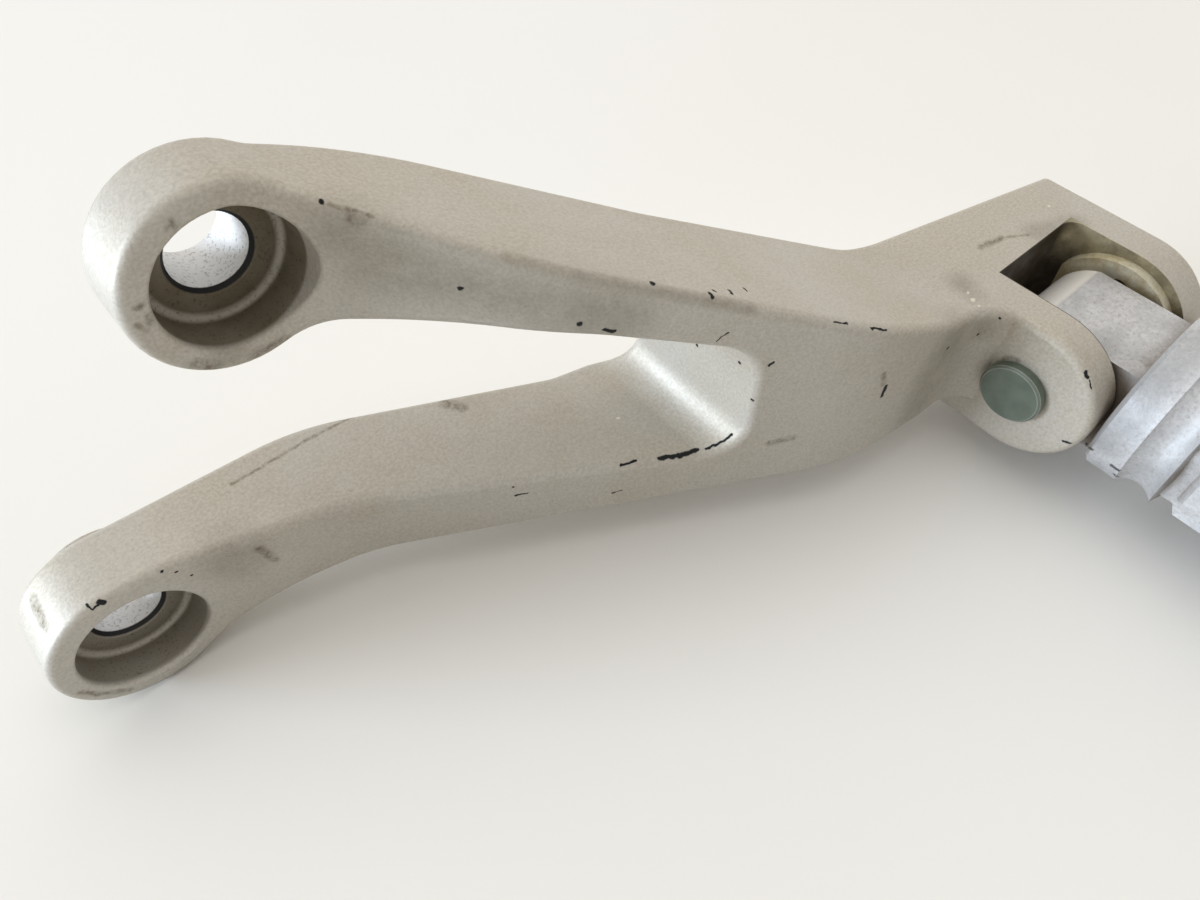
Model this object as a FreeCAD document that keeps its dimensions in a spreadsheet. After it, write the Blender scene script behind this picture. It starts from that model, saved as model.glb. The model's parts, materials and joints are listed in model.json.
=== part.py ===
import FreeCAD, Part
import math
import os
import Sketcher

# Passenger footpeg: a cast V bracket with two counterbored bolt bosses and a clevis,
# and a folding cast peg that turns on a headed pin and clicks against a detent plate.
# The origin is on the upper bolt axis, in the plane of the spigot end faces.
# +X runs to the clevis, -Y is outboard (the side of the bolt heads and the peg), +Z is up.

document = FreeCAD.newDocument("passenger_footpeg")
sheet = document.addObject("Spreadsheet::Sheet", "Sizes")

DRIVING_SIZES = (
    # Bolt bosses
    ("boss_radius", 13.8),
    ("boss_length", 16.6),
    ("upper_spigot_height", 5.6),
    ("lower_spigot_height", 3.6),
    ("spigot_radius", 9.8),
    ("spigot_chamfer", 0.5),
    ("bolt_run", 34.3),
    ("bolt_drop", 53.8),
    ("counterbore_radius", 10.0),
    ("counterbore_depth", 6.8),
    ("seat_fillet", 1.0),
    ("bolt_hole_radius", 5.5),
    ("bolt_hole_chamfer", 0.7),
    # Side outline of the V, seen along Y
    ("arm_slope", 26.2),
    ("arm_top_offset", 13.2),
    ("shoulder_radius", 10.0),
    ("arm_bottom_slope", 21.8),
    ("crotch_reach", 58.0),
    ("crotch_top_drop", 22.7),
    ("crotch_bottom_drop", 47.0),
    ("lower_arm_bottom_drop", 59.3),
    ("belly_rise", 3.5),
    ("clevis_drop", 33.0),
    ("neck_radius", 55.0),
    ("lower_neck_radius", 45.0),
    ("crotch_top_radius", 9.0),
    ("crotch_bottom_radius", 6.0),
    ("arm_bend_radius", 25.0),
    # Plan of the V, seen from above: how far each bend lies along X, and how far
    # outboard of the boss front faces
    ("front_break_reach", 7.0),
    ("front_knee_reach", 30.0),
    ("front_knee_out", 22.6),
    ("front_toe_gap", 18.8),
    ("front_toe_out", 48.2),
    ("lower_break_back", 26.0),
    ("lower_knee_out", 7.0174),
    ("back_break_run", 36.0),
    ("lower_back_break_reach", 2.0),
    ("lower_back_join_gap", 6.0),
    ("lower_back_knee_run", 9.0),
    ("lower_back_knee_rise", 1.6),
    ("back_knee_out", 9.4),
    ("back_toe_run", 34.0),
    ("back_toe_out", 24.4),
    ("web_back_out", 36.2),
    ("break_radius", 12.0),
    ("bend_radius", 40.0),
    ("join_radius", 14.0),
    ("edge_round", 1.6),
    ("rim_round", 0.7),
    # Clevis
    ("pin_out", 60.4),
    ("near_ear_reach", 104.8),
    ("near_ear_thickness", 7.0),
    ("clevis_gap", 22.6),
    ("far_ear_thickness", 7.9),
    ("far_ear_step", 1.0),
    ("ear_radius", 14.1),
    ("slot_floor_out", 46.6),
    ("web_front_out", 50.2),
    ("web_front_run", 3.0),
    ("valley_radius", 7.0),
    ("ear_blend", 0.5),
    ("ear_root", 4.0),
    ("far_ear_root", 2.3),
    ("gusset_run", 7.0),
    ("ear_round", 1.4),
    ("slot_corner_radius", 3.0),
    # Hinge pin with its washer and split pin
    ("pin_radius", 4.0),
    ("pin_clearance", 0.05),
    ("pin_head_radius", 5.85),
    ("pin_head_height", 2.1),
    ("pin_head_chamfer", 0.4),
    ("washer_radius", 7.5),
    ("washer_thickness", 1.2),
    ("split_hole_radius", 1.2),
    ("split_hole_gap", 0.2),
    ("pin_tail", 3.0),
    ("split_wire_radius", 0.5),
    ("split_wire_gap", 0.1),
    ("split_leg_spread", 25.0),
    ("split_leg_drop", 0.6),
    ("split_leg_tail", 4.0),
    ("split_eye_radius", 1.5),
    ("split_eye_gap", 0.2),
    ("washer_clearance", 0.2),
    # Peg
    ("lug_near_gap", 0.8),
    ("lug_far_gap", 3.2),
    ("lug_end_radius", 10.3),
    ("lug_top", 9.7),
    ("stop_gap", 0.3),
    ("stop_heel_height", 5.0),
    ("collar_gap", 0.8),
    ("collar_radius", 16.2),
    ("collar_width", 6.5),
    ("collar_bevel", 0.8),
    ("neck_width", 6.5),
    ("neck_depth", 1.7),
    ("ridge_slope_run", 0.8),
    ("groove_width", 3.0),
    ("core_flat", 14.0),
    ("pad_height", 1.6),
    ("pad_length", 9.6),
    ("pad_width", 8.6),
    ("pad_bevel", 35.0),
    ("pad_rows", 4),
    ("pad_columns", 8),
    ("end_cap_width", 5.5),
    ("end_cap_radius", 16.2),
    ("end_cap_round", 2.0),
    # Click detent
    ("plate_thickness", 2.0),
    ("plate_radius", 12.3),
    ("plate_flat_gap", 0.1),
    ("detent_circle", 7.4),
    ("detent_hole_radius", 1.9),
    ("fold_angle", 90.0),
    ("ball_radius", 2.5),
    ("ball_gap", 0.15),
    ("ball_bore_clearance", 0.05),
    ("ball_bore_depth", 14.0),
    ("spring_wire_radius", 0.4),
    ("spring_turns", 4),
    ("spring_gap", 0.3),
    ("spring_seat_gap", 0.05),
)

for row, (alias, number) in enumerate(DRIVING_SIZES, start=1):
    sheet.set("A%d" % row, alias)
    sheet.set("B%d" % row, str(number))
    sheet.setAlias("B%d" % row, alias)
document.recompute()

# Places that follow from the driving sizes, as expressions
S = "Sizes."
FRONT_Y = "(-%sboss_length)" % S
PIN_Y = "(%s - %spin_out)" % (FRONT_Y, S)
SLOT_FLOOR_Y = "(%s - %sslot_floor_out)" % (FRONT_Y, S)
NEAR_OUTER = "(%snear_ear_reach)" % S
PIN_Z = "(-%sclevis_drop - %sear_radius)" % (S, S)
LOWER_X = "(-%sbolt_run)" % S
LOWER_Z = "(-%sbolt_drop)" % S
EAR_BOTTOM = "(-%sclevis_drop - 2 * %sear_radius)" % (S, S)
SLOT_NEAR = "(%snear_ear_reach + %snear_ear_thickness)" % (S, S)
SLOT_FAR = "(%s + %sclevis_gap)" % (SLOT_NEAR, S)
FAR_OUTER = "(%s + %sfar_ear_thickness)" % (SLOT_FAR, S)
WEB_END = "(%s - %sfar_ear_step)" % (FAR_OUTER, S)
LUG_NEAR = "(%s + %slug_near_gap)" % (SLOT_NEAR, S)
LUG_FAR = "(%s - %slug_far_gap)" % (SLOT_FAR, S)
PEG_X = "((%s + %s) / 2)" % (SLOT_NEAR, SLOT_FAR)
PIN_HOLE = "(%spin_radius + %spin_clearance)" % (S, S)
COLLAR_START = "(%sear_radius + %scollar_gap)" % (S, S)
COLLAR_END = "(%s + %scollar_width)" % (COLLAR_START, S)
NECK_END = "(%s + %sneck_width)" % (COLLAR_END, S)
PADS_START = "(%s + %sgroove_width)" % (NECK_END, S)
PAD_PITCH = "(%spad_length + %sgroove_width)" % (S, S)
PADS_END = "(%s + %spad_rows * %s)" % (PADS_START, S, PAD_PITCH)
PEG_END = "(%s + %send_cap_width)" % (PADS_END, S)
PLATE_NEAR = "(%s - %splate_thickness)" % (SLOT_FAR, S)
BALL_X = "(%s - %sball_gap - %sball_radius)" % (PLATE_NEAR, S, S)
BALL_BORE = "(%sball_radius + %sball_bore_clearance)" % (S, S)
BORE_FLOOR = "(%s - %sball_bore_depth)" % (LUG_FAR, S)
BLANK_MARGIN = 25.0


def value(expression):
    """The number that an expression of the sheet's sizes comes to."""
    found = sheet.evalExpression(expression)
    return float(getattr(found, "Value", found))


def bind(item, **expressions):
    """Ties an object's properties to the sheet."""
    for name, expression in expressions.items():
        item.setExpression(name, expression)
    return item


def place(item, x="0", y="0", z="0", turn=None):
    """Puts an object at a point of the sheet, turned by a fixed rotation."""
    if turn is not None:
        item.Placement = FreeCAD.Placement(FreeCAD.Vector(), turn)
    for axis, expression in (("x", x), ("y", y), ("z", z)):
        item.setExpression("Placement.Base.%s" % axis, expression)
    return item


ALONG_X = FreeCAD.Rotation(FreeCAD.Vector(0, 1, 0), 90)
ALONG_Y = FreeCAD.Rotation(FreeCAD.Vector(1, 0, 0), -90)
SIDE_PLANE = FreeCAD.Rotation(FreeCAD.Vector(1, 0, 0), 90)
CROSS_PLANE = FreeCAD.Rotation(FreeCAD.Vector(1, 1, 1), 120)


def cylinder(name, radius, length, x, y, z, turn):
    item = document.addObject("Part::Cylinder", name)
    bind(item, Radius=radius, Height=length)
    return place(item, x, y, z, turn)


def box(name, x, y, z, length, width, height):
    item = document.addObject("Part::Box", name)
    bind(item, Length=length, Width=width, Height=height)
    return place(item, x, y, z)


def fuse(name, *shapes):
    item = document.addObject("Part::MultiFuse", name)
    item.Shapes = list(shapes)
    item.Refine = True
    return item


def cut(name, base, tool):
    item = document.addObject("Part::Cut", name)
    item.Base = base
    item.Tool = tool
    item.Refine = True
    return item


def common(name, first, second):
    item = document.addObject("Part::Common", name)
    item.Base = first
    item.Tool = second
    item.Refine = True
    return item


def hold(sketch, kind, number, point, expression):
    """Fixes one distance of a sketch point from the sketch's origin."""
    held = sketch.addConstraint(Sketcher.Constraint(kind, -1, 1, number, point, value(expression)))
    sketch.setExpression("Constraints[%d]" % held, expression)


def draw_outline(sketch, corners):
    """A closed run of straight edges through corners, each a pair of expressions."""
    spots = [FreeCAD.Vector(value(across), value(up), 0) for across, up in corners]
    ends = spots[1:] + spots[:1]
    lines = [sketch.addGeometry(Part.LineSegment(start, end), False)
             for start, end in zip(spots, ends)]
    for line, following in zip(lines, lines[1:] + lines[:1]):
        sketch.addConstraint(Sketcher.Constraint("Coincident", line, 2, following, 1))
    for line, (across, up) in zip(lines, corners):
        hold(sketch, "DistanceX", line, 1, across)
        hold(sketch, "DistanceY", line, 1, up)
    return sketch


def outline(name, corners, turn=None):
    sketch = document.addObject("Sketcher::SketchObject", name)
    if turn is not None:
        sketch.Placement = FreeCAD.Placement(FreeCAD.Vector(), turn)
    return draw_outline(sketch, corners)


def prism(name, sketch, forward, backward):
    """A solid from a flat outline, drawn out both ways along its normal."""
    item = document.addObject("Part::Extrusion", name)
    item.Base = sketch
    item.DirMode = "Normal"
    item.Solid = True
    return bind(item, LengthFwd=forward, LengthRev=backward)


def round_edges(name, base, radius_for):
    """Rounds the edges of base for which radius_for gives a radius."""
    document.recompute()
    chosen = []
    for index, edge in enumerate(base.Shape.Edges, start=1):
        radius = radius_for(edge)
        if radius:
            chosen.append((index, radius, radius))
    item = document.addObject("Part::Fillet", name)
    item.Base = base
    item.Edges = chosen
    document.recompute()
    return item


def runs_along(edge, axis):
    """Whether an edge is straight and parallel to an axis."""
    if not isinstance(edge.Curve, Part.Line):
        return False
    return abs(abs(edge.Curve.Direction.dot(axis)) - 1.0) < 1e-6


def round_corners(name, base, axis, corners):
    """Rounds edges parallel to an axis that pass through corners, each (x, y, z, radius)."""

    def radius_for(edge):
        if not runs_along(edge, axis):
            return None
        for x, y, z, radius in corners:
            offset = edge.CenterOfMass - FreeCAD.Vector(x, y, z)
            offset = offset - axis * offset.dot(axis)
            if offset.Length < 0.05:
                return radius
        return None

    return round_edges(name, base, radius_for)


def meet_circle(corner, slope, centre, radius):
    """Where a line through a corner at a slope leaves a circle, on the corner's side."""
    along = (math.cos(slope), math.sin(slope))
    rel = (corner[0] - centre[0], corner[1] - centre[1])
    half = rel[0] * along[0] + rel[1] * along[1]
    rest = rel[0] ** 2 + rel[1] ** 2 - radius ** 2
    step = -half + math.sqrt(half * half - rest)
    return corner[0] + step * along[0], corner[1] + step * along[1]


Y_AXIS = FreeCAD.Vector(0, 1, 0)
Z_AXIS = FreeCAD.Vector(0, 0, 1)


# Bracket: the V seen from the side

TOP_X = "(Sizes.arm_top_offset * sin(Sizes.arm_slope))"
TOP_Z = "(Sizes.arm_top_offset * cos(Sizes.arm_slope))"
BEND_X = ("((Sizes.arm_top_offset + Sizes.clevis_drop * cos(Sizes.arm_slope))"
          " / sin(Sizes.arm_slope))")
LOWER_RUN = "(Sizes.crotch_reach + Sizes.bolt_run)"
LOWER_RISE = "(Sizes.bolt_drop - Sizes.crotch_bottom_drop)"
LOWER_SPAN = "sqrt(%s ^ 2 + %s ^ 2)" % (LOWER_RUN, LOWER_RISE)
LOWER_TILT = ("(atan(%s / %s) + acos(Sizes.boss_radius / %s))"
              % (LOWER_RISE, LOWER_RUN, LOWER_SPAN))
UNDER_START_Z = "(-Sizes.crotch_top_drop + Sizes.crotch_reach * tan(Sizes.arm_bottom_slope))"


def side_blank():
    """The V and its bosses as one thick plate, with every corner rounded."""
    touch_x = "(%s + Sizes.boss_radius * cos(%s))" % (LOWER_X, LOWER_TILT)
    touch_z = "(%s + Sizes.boss_radius * sin(%s))" % (LOWER_Z, LOWER_TILT)
    corners = (
        (TOP_X, TOP_Z),
        (BEND_X, "-Sizes.clevis_drop"),
        (WEB_END, "-Sizes.clevis_drop"),
        (WEB_END, "(Sizes.belly_rise - Sizes.lower_arm_bottom_drop)"),
        (LOWER_X, "-Sizes.lower_arm_bottom_drop"),
        (touch_x, touch_z),
        ("Sizes.crotch_reach", "-Sizes.crotch_bottom_drop"),
        ("Sizes.crotch_reach", "-Sizes.crotch_top_drop"),
        ("0.0", UNDER_START_Z),
    )
    sketch = outline("v_outline", corners, SIDE_PLANE)
    outboard = "Sizes.boss_length + Sizes.pin_out + %g" % BLANK_MARGIN
    inboard = "%g" % BLANK_MARGIN
    plate = prism("v_plate", sketch, outboard, inboard)
    length = "%s + %s" % (outboard, inboard)
    start = "-(%s)" % outboard
    upper = cylinder("upper_boss", "Sizes.boss_radius", length, "0", start, "0", ALONG_Y)
    lower = cylinder("lower_boss", "Sizes.boss_radius", length, LOWER_X, start, LOWER_Z, ALONG_Y)
    blank = fuse("v_blank", plate, upper, lower)

    radius = value("Sizes.boss_radius")
    crotch_top = (value("Sizes.crotch_reach"), -value("Sizes.crotch_top_drop"))
    neck = meet_circle((0.0, value(UNDER_START_Z)), -math.radians(value("Sizes.arm_bottom_slope")),
                       (0.0, 0.0), radius)
    shoulder = meet_circle((value(TOP_X), value(TOP_Z)), -math.radians(value("Sizes.arm_slope")),
                           (0.0, 0.0), radius)
    belly_slope = math.atan2(value("Sizes.belly_rise"), value("%s - %s" % (WEB_END, LOWER_X)))
    lower_neck = meet_circle((value(LOWER_X), -value("Sizes.lower_arm_bottom_drop")), belly_slope,
                             (value(LOWER_X), value(LOWER_Z)), radius)
    return round_corners("v_rounded", blank, Y_AXIS, (
        (value(BEND_X), 0, -value("Sizes.clevis_drop"), value("Sizes.arm_bend_radius")),
        (crotch_top[0], 0, crotch_top[1], value("Sizes.crotch_top_radius")),
        (crotch_top[0], 0, -value("Sizes.crotch_bottom_drop"), value("Sizes.crotch_bottom_radius")),
        (shoulder[0], 0, shoulder[1], value("Sizes.shoulder_radius")),
        (neck[0], 0, neck[1], value("Sizes.neck_radius")),
        (lower_neck[0], 0, lower_neck[1], value("Sizes.lower_neck_radius")),
    ))


def plan_blank(name, corners, bottom, top, radii):
    """A band of the V seen from above, drawn up from one level to another."""
    sketch = outline(name + "_outline", corners)
    place(sketch, y=FRONT_Y, z=bottom)
    band = prism(name, sketch, "%s - %s" % (top, bottom), "0")
    rounds = []
    for index, radius in radii.items():
        x, y = corners[index]
        rounds.append((value(x), value(y) + value(FRONT_Y), 0, value(radius)))
    return round_corners(name + "_rounded", band, Z_AXIS, rounds)


MID_LEVEL = "(-(Sizes.crotch_top_drop + Sizes.crotch_bottom_drop) / 2)"
TOP_LEVEL = "(Sizes.boss_radius + %g)" % BLANK_MARGIN
BOTTOM_LEVEL = "(%s - Sizes.boss_radius - %g)" % (LOWER_Z, BLANK_MARGIN)
WEB_FRONT_X = "(Sizes.near_ear_reach - Sizes.valley_radius - Sizes.web_front_run)"
TOE_X = "(%s - Sizes.front_toe_gap)" % WEB_FRONT_X
FRONT_SLOPE = ("((Sizes.front_toe_out - Sizes.front_knee_out) / (%s - Sizes.front_knee_reach))"
               % TOE_X)
LOWER_KNEE_X = ("(Sizes.front_knee_reach - (Sizes.front_knee_out - Sizes.lower_knee_out) / %s)"
                % FRONT_SLOPE)
UPPER_BACK = "(Sizes.boss_length - Sizes.upper_spigot_height)"
LOWER_BACK = "(Sizes.boss_length - Sizes.lower_spigot_height)"
BACK_SLOPE = "((%s + Sizes.back_knee_out) / Sizes.back_break_run)" % UPPER_BACK
BACK_BREAK_X = "(Sizes.crotch_reach - Sizes.back_break_run)"
BACK_TOE_X = "(Sizes.crotch_reach + Sizes.back_toe_run)"
LOWER_JOIN_X = "(Sizes.crotch_reach - Sizes.lower_back_join_gap)"
LOWER_JOIN_Y = "(-Sizes.back_knee_out + Sizes.lower_back_join_gap * %s)" % BACK_SLOPE
LOWER_BACK_KNEE_X = "(%s - Sizes.lower_back_knee_run)" % LOWER_JOIN_X
LOWER_BACK_KNEE_Y = "(%s + Sizes.lower_back_knee_rise)" % LOWER_JOIN_Y
EAR_FACE_X = "(Sizes.near_ear_reach + Sizes.ear_blend)"
SHARED_FRONT = (
    (TOE_X, "-Sizes.front_toe_out"),
    (WEB_FRONT_X, "-Sizes.web_front_out"),
    (EAR_FACE_X, "-Sizes.web_front_out"),
    (EAR_FACE_X, "-Sizes.pin_out"),
    (FAR_OUTER, "-Sizes.pin_out"),
)
SHARED_BACK = (
    (FAR_OUTER, "-Sizes.web_back_out"),
    (BACK_TOE_X, "-Sizes.back_toe_out"),
    ("Sizes.crotch_reach", "-Sizes.back_knee_out"),
)


def upper_band():
    start = "(-Sizes.boss_radius - %g)" % BLANK_MARGIN
    corners = (
        (start, "0.0"),
        ("Sizes.front_break_reach", "0.0"),
        ("Sizes.front_knee_reach", "-Sizes.front_knee_out"),
    ) + SHARED_FRONT + SHARED_BACK + (
        (BACK_BREAK_X, UPPER_BACK),
        (start, UPPER_BACK),
    )
    radii = {1: "Sizes.break_radius", 2: "Sizes.bend_radius", 3: "Sizes.bend_radius",
             4: "Sizes.bend_radius", 5: "Sizes.valley_radius", 9: "Sizes.bend_radius",
             10: "Sizes.bend_radius", 11: "Sizes.bend_radius"}
    return plan_blank("upper_band", corners, MID_LEVEL, TOP_LEVEL, radii)


def lower_band():
    start = "(%s - Sizes.boss_radius - %g)" % (LOWER_X, BLANK_MARGIN)
    corners = (
        (start, "0.0"),
        ("-Sizes.lower_break_back", "0.0"),
        (LOWER_KNEE_X, "-Sizes.lower_knee_out"),
    ) + SHARED_FRONT + SHARED_BACK + (
        (LOWER_JOIN_X, LOWER_JOIN_Y),
        (LOWER_BACK_KNEE_X, LOWER_BACK_KNEE_Y),
        ("Sizes.lower_back_break_reach", LOWER_BACK),
        (start, LOWER_BACK),
    )
    radii = {1: "Sizes.bend_radius", 2: "Sizes.bend_radius", 3: "Sizes.bend_radius",
             4: "Sizes.bend_radius", 5: "Sizes.valley_radius", 9: "Sizes.bend_radius",
             10: "Sizes.bend_radius", 11: "Sizes.join_radius", 12: "Sizes.join_radius",
             13: "Sizes.bend_radius"}
    return plan_blank("lower_band", corners, BOTTOM_LEVEL, MID_LEVEL, radii)


def meeting_angle(edge, shape):
    """The angle in degrees between the two faces that meet at an edge's middle."""
    middle = edge.valueAt((edge.FirstParameter + edge.LastParameter) / 2)
    normals = []
    for face in shape.ancestorsOfType(edge, Part.Face):
        across, along = face.Surface.parameter(middle)
        normals.append(face.normalAt(across, along))
    if len(normals) < 2:
        return 0.0
    return math.degrees(normals[0].getAngle(normals[1]))


SHARP_ANGLE = 20.0


def v_arms():
    """The two arms, their bosses and the web, with the outer edges rounded."""
    side = side_blank()
    upper_half = common("upper_half", side, upper_band())
    lower_half = common("lower_half", side, lower_band())
    arms = fuse("arms", upper_half, lower_half)
    document.recompute()
    slot_side = value(SLOT_NEAR)

    def radius_for(edge):
        if edge.BoundBox.XMax > slot_side:
            return None
        if meeting_angle(edge, arms.Shape) < SHARP_ANGLE:
            return None
        return value("Sizes.edge_round")

    return round_edges("arms_rounded", arms, radius_for)


def ear(name, x, thickness, root, outer_face):
    """One cheek of the clevis: a straight root and an end round about the pin."""
    root_block = box(name + "_root", x, PIN_Y, EAR_BOTTOM, thickness, root, "2 * Sizes.ear_radius")
    nose = cylinder(name + "_nose", "Sizes.ear_radius", thickness, x, PIN_Y, PIN_Z, ALONG_X)
    cheek = fuse(name + "_cheek", root_block, nose)

    def radius_for(edge):
        bounds = edge.BoundBox
        on_face = abs(bounds.XMin - value(outer_face)) < 1e-3 and bounds.XLength < 1e-3
        return value("Sizes.ear_round") if on_face else None

    return round_edges(name, cheek, radius_for)


def gusset(name, x, thickness, root):
    """A sloping rib under the web, behind one cheek of the clevis."""
    start = "(%s + %s)" % (PIN_Y, root)
    corners = ((start, EAR_BOTTOM), ("%s + Sizes.gusset_run" % start, "%s + Sizes.gusset_run" % EAR_BOTTOM),
               (start, "%s + Sizes.gusset_run" % EAR_BOTTOM))
    sketch = place(outline(name + "_outline", corners, CROSS_PLANE), x=x)
    return prism(name, sketch, thickness, "0")


def slot_tool():
    """The slot between the ears, with one rounded corner where the detent plate seats."""
    start_y = "(%s - 2 * Sizes.ear_radius)" % PIN_Y
    block = box("slot_block", SLOT_NEAR, start_y, "%s - %g" % (EAR_BOTTOM, BLANK_MARGIN),
                "Sizes.clevis_gap", "%s - %s" % (SLOT_FLOOR_Y, start_y),
                "2 * Sizes.ear_radius + %g" % (2 * BLANK_MARGIN))
    corner = (value(SLOT_FAR), value(SLOT_FLOOR_Y), 0, value("Sizes.slot_corner_radius"))
    return round_corners("slot", block, Z_AXIS, (corner,))


def bolt_tool(name, x, z):
    """A counterbore, the bolt hole behind it and the chamfer between them."""
    start_y = "(%s - %g)" % (FRONT_Y, BLANK_MARGIN)
    seat_y = "(%s + Sizes.counterbore_depth)" % FRONT_Y
    drill = cylinder(name + "_counterbore", "Sizes.counterbore_radius",
                     "%s - %s" % (seat_y, start_y), x, start_y, z, ALONG_Y)

    def radius_for(edge):
        at_seat = abs(edge.BoundBox.YMin - value(seat_y)) < 1e-3
        return value("Sizes.seat_fillet") if at_seat else None

    recess = round_edges(name + "_recess", drill, radius_for)
    hole = cylinder(name + "_hole", "Sizes.bolt_hole_radius",
                    "%g - %s" % (BLANK_MARGIN, start_y), x, start_y, z, ALONG_Y)
    lead = document.addObject("Part::Cone", name + "_lead")
    bind(lead, Radius1="Sizes.bolt_hole_radius + Sizes.bolt_hole_chamfer",
         Radius2="Sizes.bolt_hole_radius", Height="Sizes.bolt_hole_chamfer")
    place(lead, x, seat_y, z, ALONG_Y)
    return fuse(name, recess, hole, lead)


def spigot(name, x, z, height):
    """The narrower end of a boss, which seats in the motorbike's frame."""
    depth = "(%s + Sizes.boss_length / 4)" % height
    post = cylinder(name + "_post", "Sizes.spigot_radius", depth, x, "-" + depth, z, ALONG_Y)
    document.recompute()
    chamfer = document.addObject("Part::Chamfer", name)
    chamfer.Base = post
    size = value("Sizes.spigot_chamfer")
    chamfer.Edges = [(index, size, size) for index, edge in enumerate(post.Shape.Edges, start=1)
                     if edge.BoundBox.YMin > -1e-3]
    return chamfer


def bracket():
    """The whole casting, machined for its bolts, its pin and the peg."""
    near_root = "Sizes.pin_out - Sizes.slot_floor_out + Sizes.ear_root"
    far_root = "Sizes.pin_out - Sizes.slot_floor_out + Sizes.far_ear_root"
    casting = fuse("casting", v_arms(),
                   spigot("upper_spigot", "0", "0", "Sizes.upper_spigot_height"),
                   spigot("lower_spigot", LOWER_X, LOWER_Z, "Sizes.lower_spigot_height"),
                   ear("near_ear", NEAR_OUTER, "Sizes.near_ear_thickness", near_root, NEAR_OUTER),
                   ear("far_ear", SLOT_FAR, "Sizes.far_ear_thickness", far_root, FAR_OUTER),
                   gusset("near_gusset", "%s + Sizes.ear_round" % NEAR_OUTER,
                          "Sizes.near_ear_thickness - Sizes.ear_round", near_root),
                   gusset("far_gusset", SLOT_FAR, "%s - %s" % (WEB_END, SLOT_FAR), far_root))
    bore_length = "%s - %s + %g" % (FAR_OUTER, NEAR_OUTER, 2 * BLANK_MARGIN)
    pin_bore = cylinder("pin_bore", PIN_HOLE, bore_length, "%s - %g" % (NEAR_OUTER, BLANK_MARGIN),
                        PIN_Y, PIN_Z, ALONG_X)
    tools = fuse("machining", slot_tool(), pin_bore, bolt_tool("upper_bolt", "0", "0"),
                 bolt_tool("lower_bolt", LOWER_X, LOWER_Z))
    machined = cut("machined", casting, tools)
    bolts = ((0.0, 0.0), (value(LOWER_X), value(LOWER_Z)))
    mouth_limit = value("%s + Sizes.counterbore_depth / 2" % FRONT_Y)

    def radius_for(edge):
        first, last = edge.ParameterRange
        spots = [edge.valueAt(at) for at in (first, (first + last) / 2, last)]
        if max(spot.y for spot in spots) > mouth_limit:
            return None
        for x, z in bolts:
            misses = [abs(math.hypot(spot.x - x, spot.z - z) - value("Sizes.counterbore_radius"))
                      for spot in spots]
            if max(misses) < 1e-3:
                return value("Sizes.rim_round")
        return None

    return round_edges("bracket", machined, radius_for)


# Bodies about the hinge pin: each has its origin on the pin axis, midway across the slot


def body(name, y=PIN_Y):
    return place(document.addObject("PartDesign::Body", name), PEG_X, y, PIN_Z)


def sketch_on(owner, name, role, offset="0"):
    """A sketch in a body, on one of its origin planes or level with it at an offset."""
    sketch = owner.newObject("Sketcher::SketchObject", name)
    plane = [part for part in owner.Origin.OriginFeatures if part.Role == role][0]
    sketch.AttachmentSupport = [(plane, "")]
    sketch.MapMode = "FlatFace"
    sketch.setExpression("AttachmentOffset.Base.z", offset)
    return sketch


def hold_radius(sketch, number, expression):
    held = sketch.addConstraint(Sketcher.Constraint("Radius", number, value(expression)))
    sketch.setExpression("Constraints[%d]" % held, expression)


def draw_circle(sketch, radius, across="0", up="0"):
    centre = FreeCAD.Vector(value(across), value(up), 0)
    number = sketch.addGeometry(Part.Circle(centre, Z_AXIS, value(radius)), False)
    hold(sketch, "DistanceX", number, 3, across)
    hold(sketch, "DistanceY", number, 3, up)
    hold_radius(sketch, number, radius)
    return sketch


def draw_arc(sketch, radius, first, last):
    """An arc about the sketch's origin, between two angles in degrees."""
    circle = Part.Circle(FreeCAD.Vector(), Z_AXIS, value(radius))
    arc = Part.ArcOfCircle(circle, math.radians(first), math.radians(last))
    number = sketch.addGeometry(arc, False)
    sketch.addConstraint(Sketcher.Constraint("Coincident", number, 3, -1, 1))
    hold_radius(sketch, number, radius)
    return number


def feature(owner, kind, name, profile, **expressions):
    item = owner.newObject("PartDesign::" + kind, name)
    item.Profile = profile
    return bind(item, **expressions)


def turned(owner, kind, name, profile, axis):
    """A Revolution or Groove of a profile about one axis of its own sketch."""
    item = owner.newObject("PartDesign::" + kind, name)
    item.Profile = profile
    item.ReferenceAxis = (profile, [axis])
    item.Angle = 360
    return item


def local_x(expression):
    return "(%s - %s)" % (expression, PEG_X)


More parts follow.
